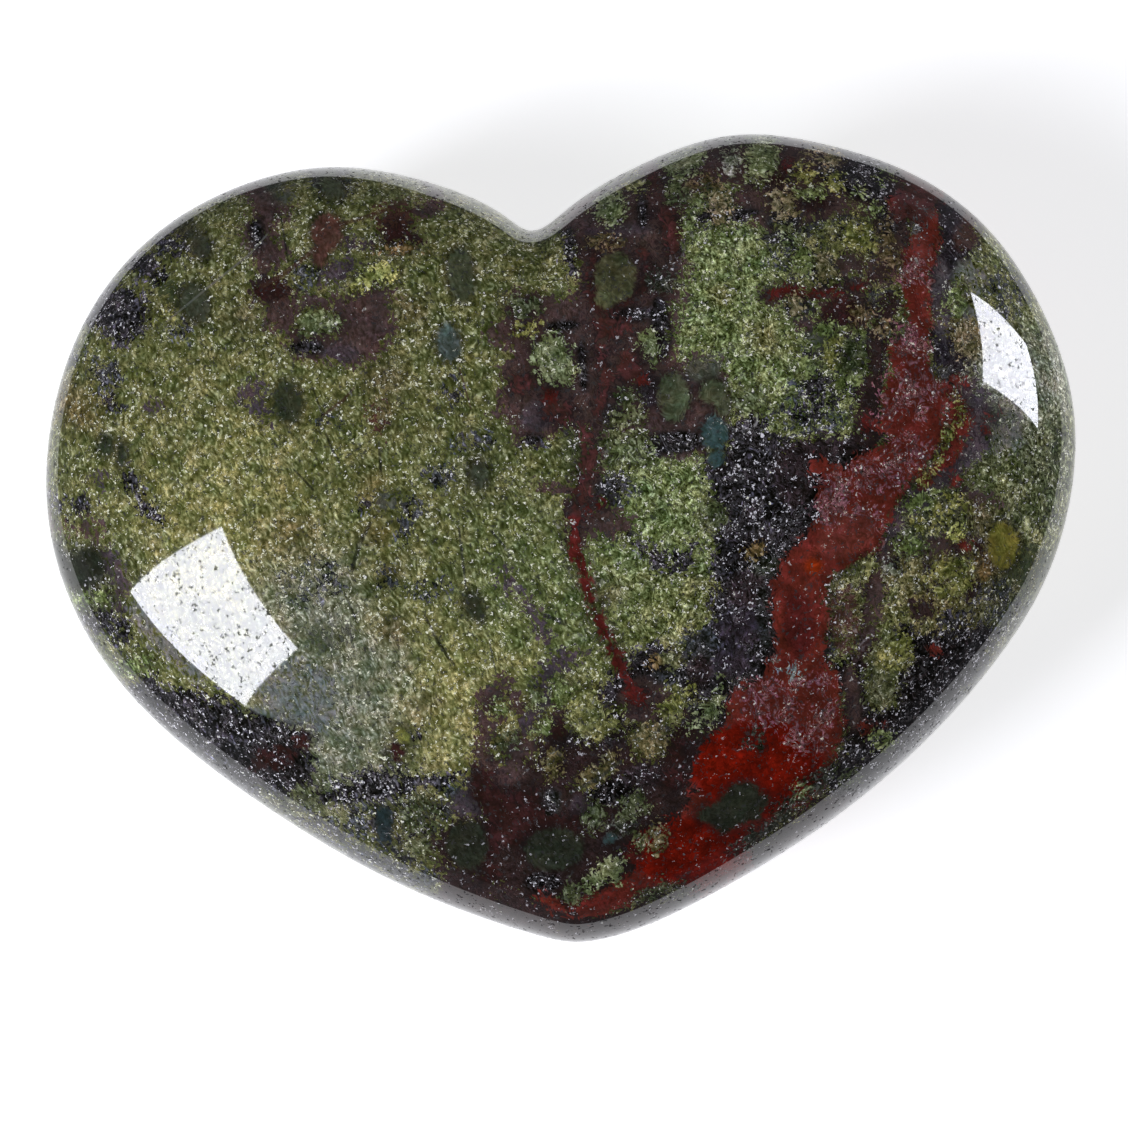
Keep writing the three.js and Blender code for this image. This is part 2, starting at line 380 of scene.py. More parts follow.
    blot("slate", 2.6, 6.0, 0.5, 0.6, fill=0.1),
    blot("black", -1.2, 5.2, 0.6, 0.3),
    stroke("black", (2.8, 0.3, 0.2), (3.6, -0.4, 0.25), (4.6, -1.0, 0.3), (5.4, -1.3, 0.3),
           (6.4, -0.6, 0.15), fill=0.15),
    blot("black", 5.0, -1.3, 0.9, 0.45, fill=0.15),
    # The black field right of the middle, and down beside the red vein
    patch("black", (7.1, 3.6), (7.8, 3.9), (8.3, 4.8), (8.8, 5.8), (9.7, 5.8), (10.0, 5.1),
          (10.8, 4.4), (12.0, 4.3), (13.0, 4.3), (14.2, 4.4), (15.0, 4.8), (15.6, 5.6),
          (15.6, 3.0), (13.0, 1.0), (12.6, -1.0), (11.2, -2.0), (10.4, -4.0), (10.6, -6.4),
          (9.6, -7.6), (8.0, -8.0), (7.4, -9.6), (6.6, -8.2), (5.8, -8.2), (5.3, -7.4),
          (4.5, -7.0), (4.1, -7.5), (4.0, -9.0), (3.0, -9.2), (2.3, -8.8), (1.6, -8.2),
          (1.3, -7.0), (2.0, -6.3), (2.6, -5.5), (3.2, -5.3), (3.8, -5.0), (4.6, -5.2),
          (5.2, -5.8), (5.7, -5.2), (6.2, -4.5), (6.9, -4.1), (6.7, -3.2), (7.0, -2.2),
          (7.0, -0.9), (7.2, 0.1), (7.9, 0.6), (7.6, 1.4), (7.2, 2.2), (6.9, 3.1)),
    blot("maroon black", 11.2, 2.6, 0.9, 1.6),
    blot("maroon black", 12.8, 3.9, 1.8, 0.6),
    blot("maroon black", 8.6, -2.8, 0.9, 0.9),
    blot("plum black", 8.2, -4.6, 1.2, 0.9),
    blot("slate", 9.4, -4.2, 0.4, 1.6),
    blot("slate", 6.2, -5.4, 0.9, 0.9),
    blot("plum black", 7.6, -6.2, 1.0, 0.8),
    blot("maroon black", 6.1, -6.6, 0.6, 0.8),
    blot("maroon", 3.2, -7.8, 1.2, 1.1),
    blot("slate", 4.4, -6.6, 0.6, 0.5),
    blot("slate", 8.0, -7.4, 0.9, 0.35),
    blot("night moss", 9.6, -1.7, 0.7, 0.5),
    # Upper right
    patch("slate", (11.0, 15.0), (16.0, 15.0), (16.6, 12.0), (16.4, 9.0), (15.6, 7.4), (15.2, 5.0),
          (11.4, 4.6), (10.4, 5.4), (12.0, 7.4), (12.0, 9.6), (11.4, 10.6), (11.6, 13.0),
          (10.6, 14.2), fill=-0.02),
    patch("maroon", (10.2, 14.7), (10.8, 14.4), (11.4, 14.6), (12.2, 14.5), (13.0, 14.9),
          (13.9, 14.9), (14.9, 15.2), (15.7, 14.8), (16.1, 13.8), (16.0, 13.0), (15.4, 12.5),
          (14.9, 12.1), (15.6, 11.4), (16.5, 11.4), (17.0, 12.2), (17.6, 13.2), (17.9, 14.4),
          (17.4, 15.0), (18.6, 15.9), (17.2, 17.0), (15.6, 17.8), (13.9, 18.5), (12.0, 18.9),
          (10.2, 19.1), (9.6, 17.6), (10.6, 16.8), (10.6, 15.6)),
    blot("black", 15.6, 16.3, 1.4, 0.7, turn=-25),
    blot("black", 16.6, 14.6, 0.6, 0.9),
    blot("black", 14.0, 16.9, 0.8, 0.4, turn=-30),
    blot("slate", 11.6, 14.9, 0.9, 0.5),
    patch("maroon", (13.9, 12.6), (14.3, 13.3), (14.9, 13.4), (15.4, 12.9), (15.5, 12.1),
          (14.8, 12.0), (14.1, 12.1)),
    stroke("maroon", (10.5, 11.3, 0.35), (11.5, 11.5, 0.4), (12.4, 11.3, 0.3), (13.6, 11.2, 0.3),
           (14.8, 11.6, 0.35), (15.8, 11.7, 0.3)),
    blot("maroon", 14.4, 10.3, 1.5, 1.0),
    blot("maroon", 12.3, 9.9, 0.5, 0.4),
    blot("slate", 15.8, 10.6, 0.6, 0.6, fill=0.15),
    blot("maroon", 16.5, 9.2, 0.5, 0.9, fill=0.15),
    blot("black", 13.2, 6.5, 1.3, 0.8, fill=0.15),
    blot("black", 12.1, 5.6, 0.9, 0.5, fill=0.1),
    blot("grey olive", 12.9, 9.0, 0.5, 0.5, fill=0.1),
    stroke("dark maroon", (16.4, 10.6, 0.5), (16.0, 9.0, 0.6), (15.7, 8.2, 0.6), (15.6, 7.2, 0.5),
           (15.2, 6.4, 0.6), (15.0, 5.4, 0.7), (15.0, 4.4, 0.7)),
    blot("maroon", 14.7, 5.1, 0.5, 0.4),
    blot("slate", 11.3, 13.4, 0.4, 0.9, fill=0.05),
    # Right of the red vein
    patch("plum black", (18.5, 14.8), (19.2, 15.4), (20.0, 14.9), (20.7, 13.8), (21.0, 12.9),
          (20.4, 12.3), (19.8, 11.5), (19.3, 10.5), (19.0, 9.5), (19.4, 8.6), (19.9, 7.8),
          (20.0, 7.0), (19.7, 6.4), (19.0, 6.4), (18.3, 7.0), (18.2, 8.0), (18.2, 9.2),
          (18.4, 10.5), (18.3, 12.0), (18.7, 12.8), (18.8, 13.8)),
    blot("fog and painted reflection", 20.3, 11.0, 0.8, 1.3, fill=0.05),
    blot("slate", 22.0, 10.4, 1.2, 0.9, fill=0.0),
    blot("brown", 20.3, 13.3, 0.6, 0.6),
    stroke("grey plum", (15.3, -1.6, 0.5), (15.7, -0.6, 0.45), (16.3, 0.5, 0.4), (17.2, 1.2, 0.35),
           (18.2, 1.8, 0.4), (19.2, 2.6, 0.5), (20.0, 3.4, 0.6), (20.6, 4.4, 0.75),
           (20.3, 5.4, 0.7), (19.8, 6.3, 0.5)),
    # This fog blot below the right softbox window is a painted reflection
    blot("fog and painted reflection", 21.6, 4.4, 0.9, 1.2, fill=0.1),
    stroke("maroon", (16.6, -1.2, 0.3), (17.6, -1.1, 0.35), (18.6, -1.1, 0.45), (19.4, -1.4, 0.4),
           (20.0, -1.7, 0.2)),
    stroke("maroon", (19.4, 1.2, 0.2), (20.2, 0.9, 0.25), (21.0, 0.6, 0.2), fill=0.15),
    blot("black", 15.5, -2.0, 0.9, 0.4, fill=0.2),
    blot("dark maroon", 17.05, -4.3, 0.6, 0.55),
    stroke("dark maroon", (17.5, -2.4, 0.3), (17.9, -2.9, 0.25), (17.4, -3.6, 0.2)),
    blot("dark maroon", 19.6, -3.55, 0.5, 0.4, fill=0.15),
    blot("black", 18.6, -4.9, 0.9, 0.35, fill=0.15),
    blot("slate", 20.5, -4.4, 1.0, 1.3, fill=0.0),
    blot("moss", 22.1, -2.7, 0.9, 1.0, fill=0.2),
    stroke("dark maroon", (15.1, -1.8, 0.4), (14.8, -3.0, 0.4), (14.4, -4.2, 0.35),
           (14.4, -5.2, 0.4), (14.1, -6.0, 0.4), (13.6, -7.1, 0.4), fill=0.5),
    blot("brown", 13.2, -4.6, 0.6, 1.5, fill=0.08),
    blot("slate", 12.2, -5.9, 0.4, 0.7),
    patch("ink", (15.7, -5.2), (16.4, -5.1), (17.2, -5.3), (18.0, -5.4), (18.9, -5.0),
          (19.6, -5.1), (20.4, -5.6), (20.2, -6.6), (19.2, -8.0), (18.0, -9.4), (16.9, -10.5),
          (15.8, -11.4), (14.9, -12.2), (13.8, -13.0), (12.0, -13.0), (11.4, -12.2),
          (12.4, -11.2), (12.9, -9.6), (12.6, -8.0), (12.2, -6.6), (13.0, -6.4), (13.9, -6.6),
          (14.0, -7.6), (14.0, -8.6), (14.6, -9.0), (15.3, -8.8), (15.6, -8.0), (15.8, -7.2),
          (16.3, -6.6), (16.1, -5.9)),
    blot("maroon", 13.3, -8.4, 0.4, 1.6),
    blot("grey plum", 18.95, 10.7, 0.55, 2.0, fill=0.35),
    stroke("maroon", (15.7, -1.2, 0.3), (15.0, -2.6, 0.35), (14.5, -5.2, 0.35), fill=0.2),
)

# Red jasper: the wide vein on the right and the smaller patches
RED_MARKS = (
    patch("blood red", (16.6, 15.6), (16.9, 15.1), (17.8, 14.7), (17.9, 14.1), (17.6, 13.6),
          (17.3, 12.8), (17.2, 12.0), (17.2, 11.2), (17.4, 10.4), (17.3, 9.6), (17.0, 8.9),
          (16.4, 8.5), (16.3, 7.8), (16.4, 7.2), (15.9, 6.7), (15.7, 5.8), (15.6, 5.0),
          (15.3, 4.5), (16.0, 4.0), (15.0, 3.6), (14.3, 3.4), (13.9, 2.8), (13.0, 3.0),
          (12.6, 3.3), (12.0, 3.3), (12.1, 2.7), (12.6, 2.3), (12.3, 1.8), (12.2, 0.8),
          (12.0, 0.1), (11.6, -0.4), (10.9, -1.0), (10.3, -1.8), (9.9, -2.5), (9.75, -3.3),
          (9.8, -4.2), (9.9, -5.0), (9.8, -5.8), (9.3, -6.3), (9.1, -7.0), (8.3, -7.4),
          (7.4, -7.6), (7.2, -8.4), (7.1, -9.3), (6.7, -9.8), (6.1, -10.5), (5.6, -11.3),
          (5.3, -12.2), (5.0, -13.0), (4.6, -13.7), (4.2, -14.3), (4.0, -14.9), (3.2, -15.4),
          (2.6, -15.7), (2.0, -16.1), (1.0, -16.6), (0.1, -16.9), (-0.6, -17.3), (-1.4, -17.3),
          (-1.9, -17.0), (-2.4, -16.5), (-2.6, -16.9), (-2.0, -17.4), (-1.0, -17.8),
          (0.2, -18.0), (1.4, -17.7), (2.4, -17.2), (3.4, -16.9), (4.6, -16.7), (5.6, -16.2),
          (6.6, -15.6), (7.4, -15.1), (8.4, -14.7), (9.2, -14.2), (9.4, -13.6), (9.9, -13.1),
          (10.3, -12.5), (11.2, -12.0), (12.0, -11.5), (12.4, -10.7), (12.9, -10.1),
          (12.9, -9.2), (12.7, -8.3), (12.7, -7.4), (12.3, -6.6), (12.0, -6.2), (12.2, -5.4),
          (12.5, -4.6), (12.4, -3.6), (12.5, -2.9), (13.0, -2.3), (14.0, -1.8), (15.0, -1.3),
          (15.5, -0.5), (15.8, 0.4), (16.2, 1.2), (17.0, 1.9), (17.6, 2.5), (18.1, 3.2),
          (18.6, 3.9), (18.8, 4.6), (18.9, 5.6), (19.3, 6.1), (19.8, 6.4), (19.6, 7.0),
          (18.4, 6.7), (18.2, 7.4), (18.2, 8.3), (18.3, 9.2), (18.4, 10.1), (18.4, 11.0),
          (18.5, 12.0), (18.9, 12.6), (19.0, 13.4), (18.9, 14.2), (19.0, 15.0), (18.8, 15.6),
          (18.1, 15.9), (17.3, 15.8)),
    blot("rust red", 8.6, -11.5, 3.2, 2.4),
    blot("rust red", 5.0, -15.2, 3.0, 1.6),
    blot("brick red", 18.1, 13.2, 0.45, 0.6),
    blot("brick red", 13.6, -0.5, 1.5, 1.0, turn=25, fill=0.1),
    blot("deep red", 11.0, -4.6, 0.8, 1.6, fill=0.12),
    blot("dull red", 18.0, 15.2, 1.2, 0.9),
    patch("blood red", (19.2, 6.2), (19.7, 5.6), (19.9, 4.6), (19.6, 3.6), (19.1, 2.8),
          (18.4, 2.2), (17.5, 1.5), (17.1, 1.8), (17.8, 2.5), (18.4, 3.3), (18.8, 4.4),
          (18.8, 5.6)),
    patch("dark red", (-5.2, -10.5), (-4.4, -10.9), (-4.2, -11.7), (-3.2, -12.0), (-2.3, -11.9),
          (-1.9, -12.8), (-1.2, -13.2), (-0.2, -13.2), (-0.4, -13.8), (-1.6, -13.7),
          (-2.6, -13.9), (-3.4, -14.4), (-4.2, -14.2), (-4.6, -14.9), (-4.4, -15.8),
          (-5.1, -16.0), (-4.9, -14.1), (-4.8, -12.9), (-5.3, -11.6), fill=0.2),
    stroke("deep red", (10.7, 11.4, 0.14), (11.5, 11.55, 0.12), (12.3, 11.35, 0.08),
           (13.2, 11.3, 0.08), (14.2, 11.4, 0.1), (14.9, 11.5, 0.1), (15.5, 11.65, 0.06)),
    blot("dark red", 14.2, 10.3, 0.9, 0.7, fill=0.12),
    blot("dark red", 13.2, 15.6, 0.6, 0.3, fill=0.1),
    blot("deep red", 11.9, 17.5, 0.22, 0.22, fill=0.1),
    blot("dark red", 11.3, 16.9, 0.6, 0.2, fill=0.12),
    blot("blood red", 21.0, 4.75, 0.26, 0.24),
    blot("blood red", 20.7, 4.15, 0.2, 0.18),
    blot("blood red", 19.0, 1.8, 0.22, 0.26),
    blot("blood red", 19.3, -1.35, 0.35, 0.25),
    blot("dark red", 19.8, -1.55, 0.18, 0.15),
    blot("blood red", 17.6, -6.3, 0.32, 0.3),
    blot("blood red", 13.9, -9.9, 0.18, 0.16),
    blot("blood red", 14.7, -9.7, 0.18, 0.16),
    blot("deep red", 15.0, 4.9, 0.4, 0.5, fill=0.15),
    stroke("dull red", (2.3, 9.3, 0.22), (2.5, 7.8, 0.25), (2.3, 7.0, 0.2), (2.0, 6.4, 0.15)),
    blot("dull red", 3.75, 8.3, 0.62, 0.68),
    blot("deep red", 4.3, 7.8, 0.3, 0.25),
    blot("deep red", -0.2, 7.3, 0.42, 0.38),
    blot("dull red", 0.1, 6.4, 0.7, 0.5, fill=0.1),
    blot("dull red", -1.5, 7.9, 0.6, 0.35, fill=0.12),
    blot("deep red", 0.95, 1.7, 0.4, 0.25, fill=0.12),
    blot("deep red", 1.8, 1.9, 0.22, 0.2, fill=0.1),
    blot("dull red", 5.3, 17.5, 0.7, 0.4, fill=0.12),
    blot("dull red", 3.0, 10.4, 0.9, 0.5, fill=0.08),
    stroke("dull red", (5.9, 15.6, 0.4), (6.3, 14.8, 0.3), (6.1, 14.0, 0.3), fill=0.1),
    stroke("dull red", (2.3, 14.2, 0.12), (2.3, 13.2, 0.16), (2.1, 12.2, 0.16), (2.4, 11.3, 0.2),
           (3.2, 11.2, 0.16), (4.0, 11.7, 0.12), (4.7, 12.4, 0.12), fill=0.12),
    stroke("dull red", (4.6, 13.9, 0.08), (4.9, 13.2, 0.1), (4.7, 12.6, 0.08), fill=0.1),
    stroke("deep red", (0.6, 1.2, 0.22), (0.35, 0.3, 0.2), (0.4, -0.5, 0.2), (0.8, -1.6, 0.2),
           (1.0, -2.6, 0.2), (1.3, -3.6, 0.22), (1.7, -4.6, 0.2), (2.1, -5.6, 0.22),
           (2.4, -6.4, 0.25), (2.8, -7.2, 0.3)),
    stroke("dull red", (1.2, 5.4, 0.3), (1.5, 4.4, 0.3), (1.2, 3.4, 0.3), (0.9, 2.4, 0.3),
           (0.7, 1.6, 0.3), fill=0.1),
    blot("deep red", 2.95, -7.6, 0.5, 0.5, fill=0.15),
    blot("dark red", 4.8, -10.2, 0.5, 0.9, fill=0.1),
    blot("dark red", 4.4, -11.7, 0.5, 0.5, fill=0.12),
    blot("deep red", 2.2, -15.2, 0.5, 0.4, fill=0.15),
    blot("dark red", -0.9, -8.9, 0.35, 0.45, fill=0.1),
    blot("dark red", -14.8, -9.4, 0.9, 0.5, fill=0.1),
    blot("dark red", -13.4, -8.6, 0.35, 0.3, fill=0.1),
    blot("dark red", -8.9, -9.6, 0.4, 0.35, fill=0.1),
    blot("dark red", -13.5, 13.3, 0.6, 0.4, fill=0.1),
    blot("dark red", -7.1, 15.5, 0.6, 0.4, fill=0.1),
    blot("orange red", 11.9, -1.9, 0.42, 0.36),
)

# Green grains that lie in the dark and red parts
GREEN_MARKS = (
    blot("pale leaf", -11.2, 11.5, 1.0, 0.5),
    patch("lime", (-9.6, 13.2), (-8.9, 13.9), (-8.0, 14.3), (-7.4, 14.1), (-7.2, 13.4),
          (-8.0, 13.2), (-8.8, 13.1)),
    blot("ochre", -7.0, 14.85, 0.8, 0.15),
    patch("pale leaf", (-0.8, 10.0), (0.0, 10.3), (0.6, 10.0), (0.9, 9.4), (1.0, 8.4), (0.7, 7.8),
          (0.2, 7.7), (-0.4, 7.9), (-0.9, 8.4), (-1.0, 9.2), (-1.1, 9.6)),
    blot("yellow leaf", -1.2, 10.65, 0.55, 0.3),
    blot("moss", -1.3, 11.6, 0.8, 0.5),
    patch("pale leaf", (2.5, 16.5), (3.1, 16.9), (3.7, 16.9), (4.1, 16.2), (3.9, 15.6),
          (3.4, 15.2), (2.8, 15.4), (2.4, 15.9)),
    blot("olive", 4.5, 17.2, 0.45, 0.4),
    patch("pale leaf", (5.9, 18.0), (6.6, 18.6), (7.8, 18.8), (8.0, 18.1), (7.6, 17.6), (6.8, 17.3),
          (6.1, 17.4)),
    blot("grey leaf and painted reflection", 9.2, 17.8, 0.35, 0.45),
    patch("pale leaf", (10.0, 17.2), (10.1, 18.5), (11.4, 18.6), (11.5, 18.0), (11.3, 17.3),
          (10.8, 17.0)),
    blot("khaki", 8.5, 15.9, 0.5, 0.8, turn=15),
    stroke("leaf", (6.9, 15.1, 0.3), (7.4, 15.8, 0.25), (7.6, 16.3, 0.15)),
    blot("tan", 7.8, 16.9, 0.7, 0.25, fill=0.1),
    blot("moss", 6.6, 16.6, 0.6, 0.5, fill=0.1),
    blot("night moss", 5.5, 12.5, 0.6, 0.55),
    blot("moss", 3.4, 6.9, 0.5, 0.45),
    blot("dim leaf", 3.4, 6.1, 0.8, 0.5, fill=0.1),
    blot("pale leaf", 4.8, 9.3, 0.45, 0.7),
    blot("tan", 2.9, 14.5, 0.8, 0.3, fill=0.1),
    blot("pale leaf", 3.7, 4.4, 0.9, 0.7, fill=0.1),
    blot("pale leaf", 9.4, 6.3, 0.7, 0.4, fill=0.1),
    blot("ochre", 9.1, -0.9, 0.5, 0.35),
    blot("moss", 7.2, 0.9, 0.5, 0.6, fill=0.1),
    # Between the middle and the tip
    blot("leaf", -0.7, -7.1, 0.55, 0.7),
    patch("olive", (-0.4, -7.6), (0.4, -7.2), (1.0, -7.3), (1.1, -8.0), (1.5, -8.4),
          (2.1, -8.3), (1.9, -8.9), (1.1, -9.3), (0.2, -9.3), (-0.5, -8.8), (-0.6, -8.2)),
    blot("olive", 1.2, -9.0, 0.9, 0.2, turn=25),
    patch("yellow leaf", (3.9, -8.1), (4.6, -7.9), (5.3, -7.4), (5.8, -7.2), (5.6, -7.7),
          (5.0, -8.1), (4.4, -8.4)),
    blot("dim leaf", 4.6, -5.9, 0.45, 0.3),
    blot("ochre", 3.9, -6.0, 0.35, 0.25),
    patch("dim olive", (2.5, -9.5), (3.0, -9.1), (4.0, -9.0), (4.4, -9.4), (4.0, -10.2),
          (3.4, -10.4), (2.7, -10.2), fill=0.12),
    blot("pale leaf", 6.2, -8.7, 0.7, 0.5, turn=35, fill=0.1),
    stroke("pale leaf", (5.4, -9.2, 0.15), (6.1, -8.6, 0.2), (6.8, -7.9, 0.15), (7.2, -7.2, 0.1),
           fill=0.12),
    patch("dim olive", (-1.9, -10.1), (-1.3, -9.9), (-0.7, -10.2), (-0.8, -10.9), (-1.4, -11.0),
          (-1.9, -10.6), fill=0.12),
    patch("dim olive", (-0.2, -11.5), (0.6, -10.9), (1.4, -10.2), (2.0, -10.0), (1.8, -10.6),
          (1.2, -11.1), (0.4, -11.6), fill=0.15),
    blot("pale leaf", -2.0, -7.3, 0.35, 0.5),
    blot("leaf", -3.9, -7.6, 0.35, 0.3),
    patch("moss", (-4.1, -9.2), (-3.4, -8.9), (-2.9, -9.1), (-3.1, -9.6), (-3.7, -9.9),
          (-4.2, -9.7)),
    patch("leaf", (-2.3, -8.9), (-1.7, -8.3), (-1.3, -8.5), (-1.5, -9.0), (-2.0, -9.2)),
    patch("moss", (1.9, -12.4), (2.6, -12.1), (3.0, -12.5), (2.9, -13.2), (2.2, -13.6),
          (1.5, -13.8), (1.6, -13.2)),
    blot("moss", 0.45, -13.2, 0.45, 0.75),
    blot("night moss", 1.7, -13.9, 0.6, 0.35),
    blot("dim leaf", 2.5, -14.6, 0.2, 0.5, turn=20),
    patch("dim olive", (3.0, -14.0), (3.5, -13.8), (3.9, -14.1), (3.8, -14.8), (3.3, -15.1),
          (3.0, -14.7)),
    patch("pale leaf", (-0.6, -16.3), (0.4, -15.9), (1.0, -15.3), (1.6, -15.0), (1.8, -15.6),
          (1.5, -16.2), (0.7, -16.5), (-0.1, -16.8)),
    patch("moss", (-1.3, -16.9), (-1.1, -16.4), (-0.4, -16.3), (-0.5, -17.2), (-1.1, -17.3)),
    blot("night moss", 8.5, -10.1, 0.35, 0.3, fill=0.15),
    stroke("moss", (2.4, -17.2, 0.1), (3.4, -16.9, 0.15), (4.6, -16.8, 0.1)),
    stroke("night moss", (7.2, -15.2, 0.12), (8.0, -14.8, 0.2), (9.0, -14.3, 0.2),
           (9.6, -13.6, 0.25), (10.6, -12.8, 0.3), (11.8, -12.0, 0.3)),
    blot("leaf", 10.6, -12.7, 0.4, 0.25, turn=30),
    # Left flank
    blot("moss", -8.0, -12.5, 0.9, 0.9, fill=0.1),
    blot("dim leaf", -8.2, -14.1, 0.8, 0.35),
    blot("dim leaf", -13.4, -11.1, 0.4, 0.3, fill=0.1),
    blot("leaf", -22.5, -1.0, 0.4, 0.4),
    blot("leaf", -20.7, -4.4, 0.4, 0.35, fill=0.12),
    blot("yellow leaf", -18.7, 12.4, 0.5, 0.25, fill=0.12),
    # Upper right
    blot("khaki", 13.6, 17.7, 0.9, 0.28, turn=-35),
    blot("yellow leaf", 12.7, 17.05, 0.55, 0.26),
    blot("yellow leaf", 14.2, 16.6, 0.3, 0.4),
    blot("leaf", 13.0, 16.2, 0.7, 0.22, fill=0.1),
    patch("khaki", (11.0, 15.4), (11.1, 16.5), (11.8, 16.5), (12.3, 15.9), (12.1, 15.2),
          (11.5, 15.0), fill=0.2),
    blot("pale leaf", 11.8, 14.3, 0.6, 0.4, fill=0.1),
    blot("leaf", 15.4, 15.9, 0.25, 0.25),
    blot("leaf", 16.1, 15.2, 0.3, 0.2),
    blot("leaf", 16.8, 16.5, 0.4, 0.2, turn=-30),
    patch("yellow leaf", (14.3, 14.4), (15.0, 14.8), (15.3, 14.2), (15.9, 14.0), (15.8, 13.2),
          (15.3, 12.8), (15.1, 13.4), (14.6, 13.5), (14.1, 13.7)),
    blot("olive", 13.6, 13.5, 0.8, 0.45, fill=0.15),
    blot("khaki", 13.4, 12.6, 0.45, 0.75, fill=0.15),
    blot("leaf", 12.5, 12.9, 0.5, 0.6, fill=0.12),
    stroke("tan", (16.6, 14.4, 0.12), (16.5, 13.5, 0.15), (16.6, 12.6, 0.4), (16.2, 12.1, 0.2),
           fill=0.15),
    blot("khaki", 11.9, 10.7, 0.4, 0.4),
    blot("tan", 15.2, 10.15, 0.5, 0.35),
    blot("tan", 16.0, 9.4, 0.4, 0.3, fill=0.12),
    blot("yellow leaf", 13.6, 8.4, 0.5, 0.7, fill=0.2),
    blot("leaf", 12.3, 7.8, 0.6, 0.4),
    blot("moss", 14.4, 8.0, 0.6, 0.9),
    blot("leaf", 13.6, 9.5, 0.5, 0.35, fill=0.12),
    blot("leaf", 14.2, 7.0, 0.5, 0.35, fill=0.12),
    # Right of the red vein
    stroke("yellow leaf", (19.2, 6.0, 0.06), (19.45, 5.2, 0.08), (19.2, 4.5, 0.12),
           (18.7, 3.7, 0.06), (18.3, 2.9, 0.05), (17.9, 2.3, 0.07), (17.4, 1.8, 0.06)),
    blot("grey leaf and painted reflection", 15.6, -2.2, 0.35, 0.35),
    blot("olive", 14.6, -2.0, 0.4, 0.35, fill=0.15),
    blot("ochre", 20.1, -2.6, 0.35, 0.4, fill=0.2),
    patch("dim leaf", (14.2, -6.9), (14.8, -6.0), (15.6, -5.6), (16.1, -5.9), (15.8, -6.6),
          (15.4, -7.2), (15.2, -8.2), (14.7, -8.8), (14.1, -8.5), (14.2, -7.7)),
    blot("tan", 15.1, -6.9, 0.3, 0.25),
    blot("leaf", 14.7, -10.5, 0.5, 0.4, fill=0.12),
    blot("moss", 12.9, -12.1, 0.5, 0.3, fill=0.1),
    blot("yellow leaf", 21.0, 13.5, 0.25, 0.5, turn=35),
    blot("leaf", 19.6, 10.4, 0.5, 0.7, fill=0.1),
    blot("khaki", 19.9, 8.6, 0.4, 0.9, fill=0.1),
    blot("yellow leaf", 18.2, 0.1, 1.5, 0.7, turn=20, fill=0.1),
    blot("yellow leaf", 18.5, -2.9, 1.2, 0.9, fill=0.2),
    blot("lime", 18.9, -0.6, 0.5, 0.4, fill=0.1),
    blot("yellow leaf", 15.5, -6.4, 1.0, 0.7, turn=30, fill=0.2),
    blot("leaf", 16.6, -1.2, 0.7, 0.5, fill=0.15),
    blot("leaf", 17.4, 0.9, 0.8, 0.4, turn=15, fill=0.2),
)

# Smooth oval grains, which look like dark eyes in the green
EYE_MARKS = (
    blot("eye grey", -17.1, 12.9, 0.6, 0.95, turn=12),
    blot("eye grey", -16.6, 15.6, 0.4, 0.55),
    blot("eye green", -12.95, 7.8, 0.65, 1.0, turn=5),
    blot("eye green", -21.9, 6.35, 0.32, 0.45),
    blot("eye green", -21.2, 5.9, 0.18, 0.5),
    blot("night moss", -22.9, 0.5, 0.5, 0.9),
    blot("eye moss", -4.2, 13.4, 0.6, 1.3),
    blot("blue grey", -5.0, 10.15, 0.55, 0.85),
    blot("eye grey", -4.0, 3.7, 0.35, 0.65),
    blot("eye green", -4.65, -2.65, 0.4, 0.75, turn=22),
    blot("eye brown", -10.5, 15.9, 0.72, 0.92),
    blot("eye brown", -10.9, 14.8, 0.4, 0.5, turn=-25),
    blot("eye olive", 3.3, 12.75, 1.05, 1.15),
    blot("eye olive", 2.8, 11.8, 0.6, 0.5),
    blot("eye moss", 5.7, 6.8, 0.78, 1.2),
    blot("eye moss", 7.6, 6.9, 0.65, 0.55),
    blot("eye moss", 8.0, 6.3, 0.35, 0.6),
    blot("teal", 7.5, 4.9, 0.6, 0.85),
    blot("teal", 7.6, 3.7, 0.4, 0.5),
    blot("night moss", -5.8, -14.2, 1.0, 1.2),
    blot("night moss", -1.6, -14.7, 1.4, 1.05),
    blot("dark teal", -9.7, -12.9, 0.4, 0.9),
    blot("teal", 1.1, -14.4, 0.3, 0.25),
    blot("eye bright", 21.1, -1.5, 0.72, 1.1),
    blot("yellow leaf", -8.55, -8.65, 0.3, 0.5, turn=30),
    blot("eye moss", -10.0, 17.9, 0.5, 0.4),
    patch("night moss", (5.4, -13.5), (6.0, -13.1), (6.6, -12.9), (7.0, -12.3), (7.6, -12.0),
          (8.2, -12.1), (8.6, -12.6), (9.1, -12.9), (8.6, -13.4), (8.5, -13.9), (7.9, -14.1),
          (7.2, -14.2), (6.6, -14.6), (6.2, -14.1), (5.7, -13.9)),
)

